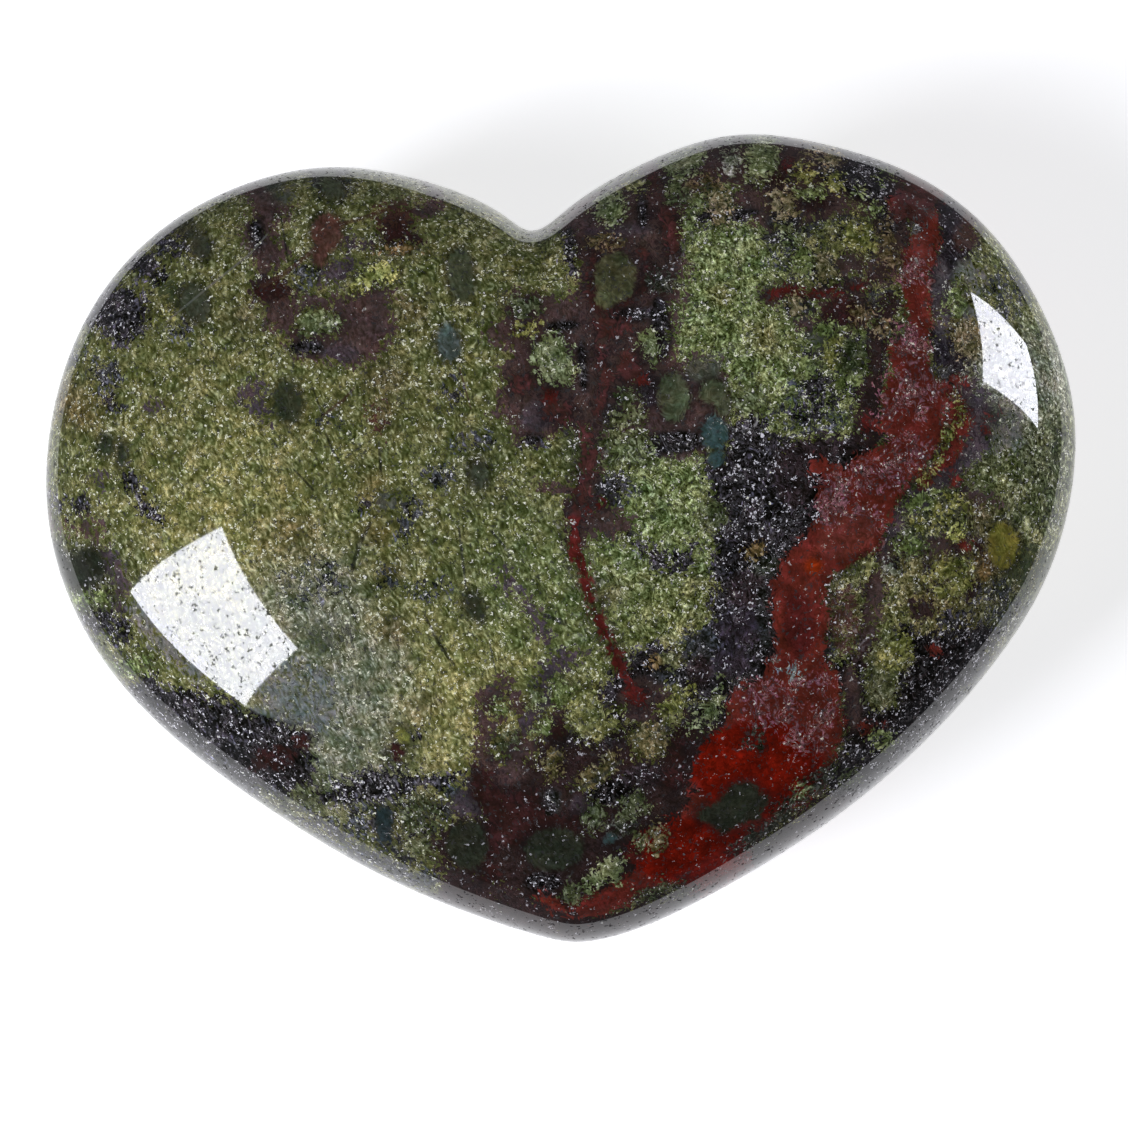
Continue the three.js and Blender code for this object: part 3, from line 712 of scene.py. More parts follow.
# Masses of small lilac crystals in the red vein
CRYSTAL_MARKS = (
    blot("lilac", 13.1, 1.3, 0.75, 1.1, turn=-15, fill=0.2),
    blot("lilac", 14.6, 2.6, 0.35, 0.4, fill=0.2),
    blot("lilac", 15.5, 2.2, 1.1, 0.7, turn=15, fill=0.12),
    blot("lilac", 16.7, 3.4, 1.0, 0.6, fill=0.0),
    blot("lilac", 17.5, 6.3, 0.9, 1.2, fill=0.12),
    blot("lilac", 16.2, 5.9, 0.5, 0.8, fill=0.05),
    blot("lilac", 17.4, 8.4, 0.6, 0.9, fill=0.08),
    blot("slate", 18.6, 7.1, 0.5, 0.28, fill=0.2),
    blot("lilac", 9.1, -8.1, 0.85, 0.8, fill=0.05),
    blot("lilac", 9.4, -9.2, 0.9, 0.25, fill=0.05),
    blot("lilac", 11.1, -10.2, 0.85, 0.6, fill=0.08),
    blot("lilac", 11.4, -7.6, 0.7, 0.35, fill=0.04),
    blot("lilac", 11.9, -8.9, 0.5, 0.45, fill=0.12),
    blot("lilac", 10.3, -8.6, 0.4, 0.3, fill=0.05),
    blot("blue grey", 10.3, -6.8, 0.42, 0.13, turn=-25),
    blot("lilac", 14.5, 0.4, 0.6, 0.4, fill=0.0),
    blot("lilac", 17.6, 12.0, 0.7, 0.5, fill=0.0),
    blot("slate", 18.1, 14.2, 0.2, 0.3, fill=0.15),
)

# Thin cracks and needles
LINE_MARKS = (
    stroke("brown", (-9.8, 16.25, 0.1), (-8.6, 16.5, 0.1), (-7.5, 16.8, 0.1), (-6.6, 17.2, 0.1)),
    stroke("brown", (-11.2, 15.1, 0.1), (-12.0, 14.5, 0.1), (-12.8, 14.0, 0.12),
           (-13.6, 13.6, 0.1)),
    stroke("lilac", (11.8, -2.9, 0.05), (11.6, -2.68, 0.05), (11.4, -2.9, 0.05),
           (11.6, -3.12, 0.05), (11.8, -2.9, 0.05)),
    stroke("fog and painted reflection", (-18.3, 12.3, 0.04), (-16.2, 13.8, 0.05), (-14.3, 15.1, 0.05),
           (-13.6, 15.8, 0.04)),
    stroke("brown", (-11.1, 7.2, 0.08), (-10.3, 7.7, 0.08), (-9.9, 8.1, 0.06)),
    stroke("deep red", (0.5, 15.35, 0.06), (2.0, 16.4, 0.08), (4.4, 17.7, 0.08), (6.0, 18.4, 0.06)),
    stroke("black", (-10.35, -0.3, 0.08), (-10.0, 0.7, 0.13), (-9.5, 1.5, 0.08)),
    stroke("black", (-6.95, -3.2, 0.05), (-6.5, -4.3, 0.09), (-5.95, -5.2, 0.06)),
    stroke("black", (-6.4, -4.6, 0.05), (-6.1, -5.05, 0.06)),
    stroke("black", (-11.15, 5.9, 0.05), (-11.0, 5.4, 0.07), (-10.8, 5.0, 0.04)),
    stroke("black", (-12.7, 4.3, 0.04), (-12.2, 3.7, 0.06)),
    stroke("black", (-8.7, 5.3, 0.06), (-8.7, 4.4, 0.07)),
    stroke("black", (-11.6, 8.0, 0.04), (-11.4, 7.3, 0.05)),
    stroke("slate", (-5.1, 0.8, 0.05), (-5.05, -0.3, 0.07), (-5.0, -1.4, 0.05)),
    stroke("slate", (-3.4, 0.7, 0.05), (-3.1, 0.3, 0.06)),
    stroke("black", (-1.15, -3.4, 0.08), (-0.5, -3.7, 0.12)),
    stroke("black", (-12.65, 16.5, 0.04), (-12.5, 14.8, 0.05)),
    stroke("slate", (-4.0, -4.6, 0.04), (-3.85, -5.7, 0.04)),
    stroke("black", (-10.75, -1.9, 0.04), (-10.5, -2.6, 0.05)),
    stroke("brown", (-4.5, 8.6, 0.04), (-4.2, 7.2, 0.04)),
    stroke("black", (4.3, 4.9, 0.05), (5.0, 4.3, 0.06)),
    stroke("night moss", (-0.4, -11.9, 0.06), (0.6, -11.5, 0.1), (1.7, -10.8, 0.08)),
    stroke("black", (15.95, 8.6, 0.05), (15.9, 7.3, 0.05)),
)

# Pale frost on the green and the dark: x, y, half its size both ways, turn and amount
FROST_ZONES = (
    (-4.8, 11.6, 1.0, 0.5, 0, 0.9),
    (-4.0, 10.8, 0.5, 0.5, 0, 0.7),
    (-5.6, 10.9, 0.25, 0.5, 0, 0.7),
    (-4.9, 9.0, 0.8, 0.4, 0, 0.6),
    (-5.5, 9.5, 0.2, 0.5, 0, 0.6),
    (-3.9, 15.3, 0.5, 0.8, 0, 0.7),
    (-3.1, 16.1, 0.9, 0.2, 15, 0.5),
    (6.5, 13.6, 0.35, 0.6, -35, 0.9),
    (7.4, 14.45, 0.8, 0.15, 5, 1.0),
    (0.3, 10.2, 0.7, 0.6, 0, 0.6),
    (-0.3, 9.4, 0.5, 0.4, 0, 0.4),
    (1.3, 8.3, 0.3, 1.3, 0, 0.5),
    (8.1, 7.6, 0.3, 0.5, 0, 0.9),
    (3.5, 4.4, 0.8, 0.7, 0, 0.6),
    (4.6, 4.3, 0.6, 0.5, 0, 0.8),
    (5.8, 3.6, 0.9, 0.4, -10, 0.6),
    (9.0, 5.3, 1.1, 0.4, -5, 0.9),
    (7.6, 0.9, 0.4, 0.6, 0, 0.5),
    (9.3, -1.3, 0.8, 0.25, 15, 0.7),
    (8.0, -4.1, 0.5, 0.3, 0, 0.6),
    (7.2, -7.4, 0.3, 0.8, -35, 0.5),
    (3.5, -0.6, 0.4, 0.4, 0, 0.6),
    (-21.6, 7.3, 0.35, 0.5, 0, 0.6),
    (-20.6, 4.2, 0.5, 0.8, 10, 0.5),
    (-14.3, 15.4, 0.7, 0.3, 35, 0.8),
    (-17.3, 13.3, 0.5, 0.15, 35, 0.6),
    (-12.6, 16.6, 0.4, 0.3, 0, 0.6),
    (-11.6, 14.0, 0.9, 0.4, -10, 0.5),
    (13.2, -3.0, 0.6, 0.4, 0, 1.4),
    (12.9, -4.9, 0.4, 0.9, 0, 1.2),
    (13.7, -5.4, 0.5, 0.7, 0, 1.0),
    (13.4, -6.4, 0.5, 0.3, 0, 0.6),
    (-12.6, -0.9, 1.9, 1.1, -15, 0.6),
    (-13.5, -2.0, 1.2, 0.6, 0, 0.5),
    (-10.9, -5.6, 0.4, 1.4, 5, 0.5),
    (-11.2, -3.4, 0.8, 0.6, 0, 0.5),
    (-7.2, 2.3, 0.6, 0.4, 0, 0.6),
    (-5.7, 3.8, 0.4, 0.5, -30, 0.7),
    (-4.1, 4.7, 0.4, 0.3, 0, 0.7),
    (-3.5, 5.3, 0.3, 0.3, 0, 0.6),
    (-2.9, -1.8, 0.3, 0.6, 25, 0.4),
    (-10.0, -11.0, 2.2, 0.8, -5, 0.5),
    (-3.9, -14.7, 0.15, 0.5, 5, 0.7),
    (-1.8, -16.2, 0.7, 0.2, 0, 0.6),
    (16.5, 6.9, 0.5, 0.5, 0, 0.4),
    (16.3, 15.6, 0.3, 0.2, 0, 0.9),
    (18.1, 14.1, 0.25, 0.35, -20, 0.9),
    (18.6, 10.0, 0.3, 2.6, 3, 0.35),
    (17.0, -8.2, 1.8, 1.0, 0, 0.1),
    (19.2, 10.5, 0.7, 2.5, 0, 0.5),
    (17.9, -0.8, 0.4, 0.15, 0, 0.8),
    (15.2, -0.9, 0.4, 0.7, 0, 0.4),
)


def linear(code):
    """Linear red, green and blue of an sRGB hex colour"""
    shares = [int(code[i:i + 2], 16) / 255 for i in (1, 3, 5)]
    return tuple(s / 12.92 if s <= 0.04045 else ((s + 0.055) / 1.055) ** 2.4 for s in shares)


def add_node(tree, kind, *inputs, output=0, named=None, **settings):
    """Adds a node with its settings. Its inputs, in their order or by name, get a value or a
    link. Returns the output that is asked for, if the node has one."""
    node = tree.nodes.new(kind)
    for name, value in settings.items():
        setattr(node, name, value)
    for key, value in [*enumerate(inputs), *(named or {}).items()]:
        if isinstance(value, bpy.types.NodeSocket):
            tree.links.new(value, node.inputs[key])
        else:
            node.inputs[key].default_value = value
    return node.outputs[output] if node.outputs else None


class BloodstoneHeartSettings(bpy.types.PropertyGroup):
    """Sizes of the stone"""

    width: FloatProperty(
        name="Width",
        description="Width across both lobes",
        default=HEART_SIZE.x,
        unit="LENGTH",
    )
    length: FloatProperty(
        name="Length",
        description="From the tip to the top of the lobes",
        default=HEART_SIZE.y,
        unit="LENGTH",
    )
    thickness: FloatProperty(
        name="Thickness",
        description="Height of the stone above the surface it lies on",
        default=HEART_SIZE.z,
        unit="LENGTH",
    )
    girdle_height: FloatProperty(
        name="Girdle Height",
        description="Height of the widest line around the stone",
        default=9.25 * MM,
        unit="LENGTH",
    )
    crown_fullness: FloatProperty(
        name="Crown Fullness",
        description="How flat the middle of the domes is, where 2 is an ellipse",
        default=2.3,
    )
    shoulder_fullness: FloatProperty(
        name="Shoulder Fullness",
        description="How upright the domes are near the girdle, where 2 is an ellipse",
        default=2.35,
    )
    core_width: FloatProperty(
        name="Core Width",
        description="Width of the oval that the outline eases into towards the middle",
        default=44 * MM,
        unit="LENGTH",
    )
    core_length: FloatProperty(
        name="Core Length",
        description="Length of the oval that the outline eases into towards the middle",
        default=36 * MM,
        unit="LENGTH",
    )
    core_centre: FloatVectorProperty(
        name="Core Centre",
        description="Middle of the oval, which is also under the highest point of the face",
        default=(0.0, 1.7 * MM, 0.0),
        unit="LENGTH",
    )
    core_ease: FloatProperty(
        name="Core Ease",
        description="How quickly the heart outline eases into the oval",
        default=2.0,
    )
    flat_share: FloatProperty(
        name="Flat Share",
        description="Share of the oval that is ground flat on the back",
        default=0.3,
        subtype="FACTOR",
    )
    segments: IntProperty(
        name="Segments",
        description="Steps around the girdle",
        default=480,
    )
    front_rings: IntProperty(
        name="Front Rings",
        description="Rings from the girdle to the top of the face",
        default=150,
    )
    back_rings: IntProperty(
        name="Back Rings",
        description="Rings from the flat on the back to the girdle",
        default=44,
    )
    flat_rings: IntProperty(
        name="Flat Rings",
        description="Rings across the flat on the back",
        default=8,
    )


class BloodstoneStudioSettings(bpy.types.PropertyGroup):
    """The camera, the light pad, the table and the lamps"""

    tilt_across: FloatProperty(
        name="Tilt Across",
        description="How far the camera leans to the right of straight above the stone",
        default=math.radians(1.5),
        unit="ROTATION",
    )
    tilt_along: FloatProperty(
        name="Tilt Along",
        description="How far the camera leans towards the notch from straight above",
        default=math.radians(-3.5),
        unit="ROTATION",
    )
    turn: FloatProperty(
        name="Turn",
        description="How far the stone lies turned in the picture",
        default=math.radians(3.96),
        unit="ROTATION",
    )
    camera_distance: FloatProperty(
        name="Camera Distance",
        description="From the camera to the point it looks at",
        default=0.4,
        unit="LENGTH",
    )
    aim: FloatVectorProperty(
        name="Aim",
        description="The point at the height of the girdle that the camera looks at",
        default=(-0.16 * MM, -0.93 * MM, 9.25 * MM),
        unit="LENGTH",
    )
    view_width: FloatProperty(
        name="View Width",
        description="Width of the picture at the point that the camera looks at",
        default=54.65 * MM,
        unit="LENGTH",
    )
    pad_middle: FloatVectorProperty(
        name="Pad Middle",
        description="Middle of the light pad, which reaches further past the tip than the lobes",
        default=(0.0, -6 * MM, 0.0),
        unit="LENGTH",
    )
    pad_width: FloatProperty(
        name="Pad Width",
        description="Width of the oval light pad that the stone lies on",
        default=104 * MM,
        unit="LENGTH",
    )
    pad_length: FloatProperty(
        name="Pad Length",
        description="Length of the oval light pad",
        default=84 * MM,
        unit="LENGTH",
    )
    pad_thickness: FloatProperty(
        name="Pad Thickness",
        description="Height of the light pad above the table",
        default=3 * MM,
        unit="LENGTH",
    )
    pad_colour: FloatVectorProperty(
        name="Pad Colour",
        description="White acrylic of the light pad",
        default=linear("#dededc"),
        subtype="COLOR",
    )
    pad_glow: FloatProperty(
        name="Pad Glow",
        description="Brightness of the light that comes up through the pad",
        default=0.64,
    )
    table_colour: FloatVectorProperty(
        name="Table Colour",
        description="Grey paper around the light pad",
        default=linear("#47474a"),
        subtype="COLOR",
    )
    left_power: FloatProperty(
        name="Left Softbox",
        description="Power of the large softbox on the left, in watts",
        default=3.5,
    )
    right_power: FloatProperty(
        name="Right Softbox",
        description="Power of the softbox on the right, in watts",
        default=2.3,
    )


# The shape of the stone

def spline_controls(points):
    """Control points of the closed cubic spline that passes through the given points. Each
    pass moves them by what the spline still misses the points by."""
    passes = 40
    controls = points.copy()
    for _ in range(passes):
        before = np.roll(controls, 1, axis=0)
        after = np.roll(controls, -1, axis=0)
        controls += points - (before + 4 * controls + after) / 6
    return controls


def girdle_outline(width, length, segments):
    """The girdle, brought to the overall width and length and centred on the origin, as rows
    of x and y, anticlockwise seen from the front"""
    controls = spline_controls(np.array(GIRDLE_POINTS) * MM)
    count = len(controls)
    along = np.arange(segments) / segments * count
    i = along.astype(int)
    t = (along - i)[:, None]
    # The four weights of a uniform cubic spline
    outline = (
        (1 - t) ** 3 * controls[i - 1]
        + (3 * t ** 3 - 6 * t ** 2 + 4) * controls[i]
        + (-3 * t ** 3 + 3 * t ** 2 + 3 * t + 1) * controls[(i + 1) % count]
        + t ** 3 * controls[(i + 2) % count]
    ) / 6
    low = outline.min(axis=0)
    high = outline.max(axis=0)
    scale = np.array((width, length)) / (high - low)
    return ((outline - (low + high) / 2) * scale)[::-1]


def girdle_loop(settings):
    """The girdle as a closed loop of edges, which the nodes lay the rings of the stone along"""
    outline = girdle_outline(settings.width, settings.length, settings.segments)
    count = len(outline)
    mesh = bpy.data.meshes.new("heart_girdle")
    mesh.from_pydata(
        [(x, y, 0.0) for x, y in outline],
        [(i, (i + 1) % count) for i in range(count)],
        [],
    )
    loop = bpy.data.objects.new("heart_girdle", mesh)
    bpy.context.scene.collection.objects.link(loop)
    return loop


def heart_tree():
    """Geometry nodes that lay rings along the girdle loop, from the middle of the flat on the
    back, over the girdle, to the top of the face"""
    tree = bpy.data.node_groups.new("Heart Stone", "GeometryNodeTree")
    face = tree.interface
    face.new_socket("Girdle", in_out="INPUT", socket_type="NodeSocketGeometry")
    for name, kind in (
        ("Segments", "Int"),
        ("Flat Rings", "Int"),
        ("Back Rings", "Int"),
        ("Front Rings", "Int"),
        ("Thickness", "Float"),
        ("Girdle Height", "Float"),
        ("Crown Fullness", "Float"),
        ("Shoulder Fullness", "Float"),
        ("Core Width", "Float"),
        ("Core Length", "Float"),
        ("Core Centre", "Vector"),
        ("Core Ease", "Float"),
        ("Flat Share", "Float"),
        ("Material", "Material"),
    ):
        face.new_socket(name, in_out="INPUT", socket_type="NodeSocket" + kind)
    face.new_socket("Stone", in_out="OUTPUT", socket_type="NodeSocketGeometry")
    given = tree.nodes.new("NodeGroupInput").outputs
    add = partial(add_node, tree)

    # One column of the grid for each step around the girdle, and one row for each ring
    unseen = add(MATH, given["Flat Rings"], given["Back Rings"], operation="ADD")
    rings = add(MATH, unseen, given["Front Rings"], operation="ADD")
    rows = add(MATH, rings, 1.0, operation="ADD")
    columns = add(MATH, given["Segments"], 1.0, operation="ADD")
    grid = add("GeometryNodeMeshGrid", 1.0, 1.0, columns, rows)
    index = add("GeometryNodeInputIndex")
    within = add(MATH, index, 0.5, operation="ADD")
    column = add(MATH, add(MATH, within, rows, operation="DIVIDE"), operation="FLOOR")
    row = add(MATH, index, add(MATH, column, rows, operation="MULTIPLY"), operation="SUBTRACT")
    step = add(MATH, column, given["Segments"], operation="MODULO")
    girdle_point = add(
        "GeometryNodeSampleIndex",
        named={
            "Geometry": given["Girdle"],
            "Value": add("GeometryNodeInputPosition"),
            "Index": step,
        },
        data_type="FLOAT_VECTOR",
        domain="POINT",
    )

    # How far along its own part each ring is: the flat, the back dome and the front dome
    on_flat = add(MATH, row, given["Flat Rings"], operation="DIVIDE", use_clamp=True)
    past_flat = add(MATH, row, given["Flat Rings"], operation="SUBTRACT")
    on_back = add(MATH, past_flat, given["Back Rings"], operation="DIVIDE", use_clamp=True)
    past_girdle = add(MATH, row, unseen, operation="SUBTRACT")
    on_front = add(MATH, past_girdle, given["Front Rings"], operation="DIVIDE", use_clamp=True)

    # The domes are superellipses. The front rings are drawn towards the top a little, so that
    # they lie evenly over the face.
    quarter = math.pi / 2
    draw_power = 1.25
    off_back = add(MATH, 1.0, on_back, operation="SUBTRACT")
    back_angle = add(MATH, off_back, quarter, operation="MULTIPLY")
    off_front = add(MATH, 1.0, on_front, operation="SUBTRACT")
    evened = add(MATH, off_front, draw_power, operation="POWER")
    front_turn = add(MATH, 1.0, evened, operation="SUBTRACT")
    front_angle = add(MATH, front_turn, quarter, operation="MULTIPLY")
    out_power = add(MATH, 2.0, given["Crown Fullness"], operation="DIVIDE")
    rise_power = add(MATH, 2.0, given["Shoulder Fullness"], operation="DIVIDE")
    back_cosine = add(MATH, add(MATH, back_angle, operation="COSINE"), 0.0, operation="MAXIMUM")
    front_cosine = add(MATH, add(MATH, front_angle, operation="COSINE"), 0.0, operation="MAXIMUM")
    back_out = add(MATH, back_cosine, out_power, operation="POWER")
    front_out = add(MATH, front_cosine, out_power, operation="POWER")
    back_drop = add(MATH, add(MATH, back_angle, operation="SINE"), rise_power, operation="POWER")
    front_rise = add(MATH, add(MATH, front_angle, operation="SINE"), rise_power, operation="POWER")

    # The share of the way out to the girdle, and the height
    flat_reach = add(MATH, given["Flat Share"], on_flat, operation="MULTIPLY")
    dome_share = add(MATH, 1.0, given["Flat Share"], operation="SUBTRACT")
    back_reach = add(MATH, dome_share, back_out, flat_reach, operation="MULTIPLY_ADD")
    share = add(MATH, back_reach, front_out, operation="MULTIPLY")
    crown = add(MATH, given["Thickness"], given["Girdle Height"], operation="SUBTRACT")
    left = add(MATH, 1.0, back_drop, operation="SUBTRACT")
    back_height = add(MATH, given["Girdle Height"], left, operation="MULTIPLY")
    height = add(MATH, crown, front_rise, back_height, operation="MULTIPLY_ADD")

    # Near the centre a ring is the core oval, and at the girdle it is the heart
    arm = add(VECTOR_MATH, girdle_point, given["Core Centre"], operation="SUBTRACT")
    reach = add(VECTOR_MATH, arm, operation="LENGTH", output="Value")
    direction = add(VECTOR_MATH, arm, operation="NORMALIZE")
    half_core = add(
        COMBINE,
        add(MATH, given["Core Width"], 0.5, operation="MULTIPLY"),
        add(MATH, given["Core Length"], 0.5, operation="MULTIPLY"),
        1.0,
    )
    in_core = add(VECTOR_MATH, direction, half_core, operation="DIVIDE")
    core_length = add(VECTOR_MATH, in_core, operation="LENGTH", output="Value")
    core = add(MATH, 1.0, core_length, operation="DIVIDE")
    beyond = add(MATH, reach, core, operation="SUBTRACT")
    eased = add(MATH, share, given["Core Ease"], operation="POWER")
    here = add(MATH, beyond, eased, core, operation="MULTIPLY_ADD")
    radius = add(MATH, share, here, operation="MULTIPLY")
    outward = add(VECTOR_MATH, direction, named={"Scale": radius}, operation="SCALE")
    placed = add(VECTOR_MATH, given["Core Centre"], outward, operation="ADD")
    lift = add(COMBINE, 0.0, 0.0, height)
    ring_point = add(VECTOR_MATH, placed, lift, operation="ADD")

    # The sides of the grid meet in a seam and its ends in two poles, which are closed
    weld = 0.001 * MM
    swept = add("GeometryNodeSetPosition", grid, named={"Position": ring_point})
    closed = add("GeometryNodeMergeByDistance", swept, named={"Distance": weld})
    smooth = add("GeometryNodeSetShadeSmooth", closed)
    real = add("GeometryNodeRealizeInstances", smooth)
    dressed = add("GeometryNodeSetMaterial", real, named={"Material": given["Material"]})
    add("NodeGroupOutput", dressed)
    return tree


def plain_mesh(made, name):
    """The evaluated result of an object's modifiers, as a new object with a plain mesh"""
    bpy.context.view_layer.update()
    evaluated = made.evaluated_get(bpy.context.evaluated_depsgraph_get())
    mesh = bpy.data.meshes.new_from_object(evaluated)
    mesh.name = name
    piece = bpy.data.objects.new(name, mesh)
    bpy.context.scene.collection.objects.link(piece)
    bpy.data.objects.remove(made)
    return piece


# The markings of the stone

def view_axes(studio):
    """The picture's right and up, and the direction from the stone to the camera"""
    across = math.sin(studio.tilt_across)
    along = math.sin(studio.tilt_along)
    towards = Vector((across, along, math.sqrt(1 - across ** 2 - along ** 2)))
    up = Vector((math.sin(studio.turn), math.cos(studio.turn), 0.0))
    up = (up - towards * up.dot(towards)).normalized()
    return up.cross(towards), up, towards


def face_places(points, studio):
    """Where the markings lie on each point of the stone, as x and y on the face, in
    millimetres. The face carries them as the camera sees them. Below it they run down through
    the stone as sheets that lean inwards, so the sides and the back have their own pattern."""
    towards = np.array(view_axes(studio)[2])
    y_axis = np.array((0.0, 1.0, 0.0)) - towards * towards[1]
    y_axis /= np.linalg.norm(y_axis)
    x_axis = np.cross(y_axis, towards)
    aim = np.array(studio.aim)
    from_aim = points - aim
    spread = studio.camera_distance / (studio.camera_distance - from_aim @ towards)
    x = (aim[0] + from_aim @ x_axis * spread) / MM
    y = (aim[1] + from_aim @ y_axis * spread) / MM

    # Heights and sizes in millimetres, and shifts for each millimetre further down
    face_height = 14.0
    ease_in = 2.0
    wave_size = 7.0
    drift_x, drift_y = 0.25, -0.2
    inward = 0.023
    waver = 0.22
    below = np.maximum(face_height - points[:, 2] / MM, 0.0)
    depth = below ** 2 / (below + ease_in)

    # Without a seed the waves would be others in each run
    wave_seed = 1
    noise.seed_set(wave_seed)
    waves = np.array([noise.noise_vector(Vector(point) / (wave_size * MM)) for point in points])
    x += depth * (drift_x - inward * x + waver * waves[:, 0])
    y += depth * (drift_y - inward * y + waver * waves[:, 1])
    return x, y


def along_segment(x, y, start, end):
    """Distance from a line segment, the share of the way along it, and the side it lies on"""
    run_x = end[0] - start[0]
    run_y = end[1] - start[1]
    length = math.hypot(run_x, run_y)
    away_x = x - start[0]
    away_y = y - start[1]
    share = np.clip((away_x * run_x + away_y * run_y) / length ** 2, 0.0, 1.0)
    distance = np.hypot(away_x - share * run_x, away_y - share * run_y)
    side = (away_y * run_x - away_x * run_y) / length
    return distance, share, side


def turned_offsets(x, y, centre_x, centre_y, turn):
    """Distances from a centre, along axes that are turned by some degrees"""
    turn = math.radians(turn)
    u = (x - centre_x) * math.cos(turn) + (y - centre_y) * math.sin(turn)
    v = (y - centre_y) * math.cos(turn) - (x - centre_x) * math.sin(turn)
    return u, v


def blot_depth(oval, x, y):
    """How deep places lie in an oval, negative outside it"""
    centre_x, centre_y, across, along, turn = oval
    u, v = turned_offsets(x, y, centre_x, centre_y, turn)
    reach = np.hypot(u / across, v / along) + TINY
    slope = np.hypot(u / across ** 2, v / along ** 2) + TINY
    return reach * (1 - reach) / slope


def stroke_depth(run, x, y):
    """How deep places lie in a band, negative outside it"""
    depth = np.full(x.shape, -FAR)
    for start, end in zip(run[:-1], run[1:]):
        distance, share, _ = along_segment(x, y, start, end)
        half_width = start[2] + (end[2] - start[2]) * share
        depth = np.maximum(depth, half_width - distance)
    return depth


def patch_depth(outline, x, y):
    """How deep places lie in a closed outline, negative outside it"""
    inside = np.zeros(x.shape, bool)
    nearest = np.full(x.shape, FAR)
    for start, end in zip(outline, outline[1:] + outline[:1]):
        distance, _, _ = along_segment(x, y, start, end)
        nearest = np.minimum(nearest, distance)
        if start[1] != end[1]:
            level = (y - start[1]) / (end[1] - start[1])
            crosses = (start[1] > y) != (end[1] > y)
            inside ^= crosses & (x < start[0] + level * (end[0] - start[0]))
    return np.where(inside, nearest, -nearest)


MARK_DEPTHS = {"blot": blot_depth, "stroke": stroke_depth, "patch": patch_depth}


def mark_reach(kind, shape):
    """The lowest and highest x and y of a mark"""
    if kind == "blot":
        x, y, across, along, _ = shape
        reach = max(across, along)
        return x - reach, x + reach, y - reach, y + reach
    xs = [point[0] for point in shape]
    ys = [point[1] for point in shape]
    return min(xs), max(xs), min(ys), max(ys)


def lay_marks(marks, x, y):
    """How deep each place lies in the marks, in millimetres and negative outside them, and
    the tint that it takes from them. A later mark covers an earlier one, and its tint blends
    into what it covers over a third of a millimetre."""
    blend_width = 0.3
    depth = np.full(x.shape, -FULL)
    tint = np.empty((len(x), 3))
    tint[:] = linear(TINTS[marks[0][0]])
    for name, fill, kind, shape in marks:
        low_x, high_x, low_y, high_y = mark_reach(kind, shape)
        near = (x > low_x - FULL) & (x < high_x + FULL) & (y > low_y - FULL) & (y < high_y + FULL)
        inside = MARK_DEPTHS[kind](shape, x[near], y[near])
        filled = np.minimum(inside, fill)
        colour = np.array(linear(TINTS[name]))
        before = depth[near]
        near_tint = tint[near]
        near_tint[(filled > before) & (before < 0)] = colour
        cover = np.clip(inside / blend_width + 0.5, 0.0, 1.0)[:, None]
        tint[near] = near_tint + (colour - near_tint) * cover
        depth[near] = np.maximum(before, filled)
    return depth, tint


def lay_lines(marks, x, y):
    """For thin lines: the place across the nearest line, from -1 to 1 within it, how near it
    is from 0 to 1, and its tint. A line is thinner than the mesh's faces, and the place across
    it still changes evenly from face to face."""
    reach = 0.6
    across = np.full(x.shape, FAR)
    nearness = np.zeros(x.shape)
    tint = np.empty((len(x), 3))
    tint[:] = linear(TINTS[marks[0][0]])
    for name, _, _, run in marks:
        for start, end in zip(run[:-1], run[1:]):
            distance, share, side = along_segment(x, y, start, end)
            half_width = start[2] + (end[2] - start[2]) * share
            near = 1 - distance / reach
            closer = near > nearness
            across[closer] = (side / half_width)[closer]
            nearness[closer] = near[closer]
            tint[closer] = linear(TINTS[name])
    return across, nearness, tint


def blend_zones(zones, x, y):
    """The tint of the green at each place, blended from broad round zones on plain olive"""
    plain_weight = 0.15
    falloff = 1.5
    total = np.full((len(x), 1), plain_weight)
    tint = np.array(linear(TINTS["olive"])) * total
    for name, zone_x, zone_y, radius in zones:
        away = ((x - zone_x) ** 2 + (y - zone_y) ** 2) / radius ** 2
        weight = np.exp(-falloff * away)[:, None]
        tint += weight * np.array(linear(TINTS[name]))
        total += weight
    return tint / total


def blend_frost(zones, x, y):
    """How frosted each place is, from 0 for none"""
    frost = np.zeros(x.shape)
    for zone_x, zone_y, across, along, turn, amount in zones:
        u, v = turned_offsets(x, y, zone_x, zone_y, turn)
        frost = np.maximum(frost, amount * np.exp(-(u / across) ** 2 - (v / along) ** 2))
    return frost


def keep_on_points(mesh, name, values):
    """Stores a number or a colour for each point of the mesh"""
    if values.ndim == 1:
        layer = mesh.attributes.new(name, "FLOAT", "POINT")
        layer.data.foreach_set("value", values.astype(np.float32))
    else:
        layer = mesh.attributes.new(name, "FLOAT_VECTOR", "POINT")
        layer.data.foreach_set("vector", values.astype(np.float32).ravel())


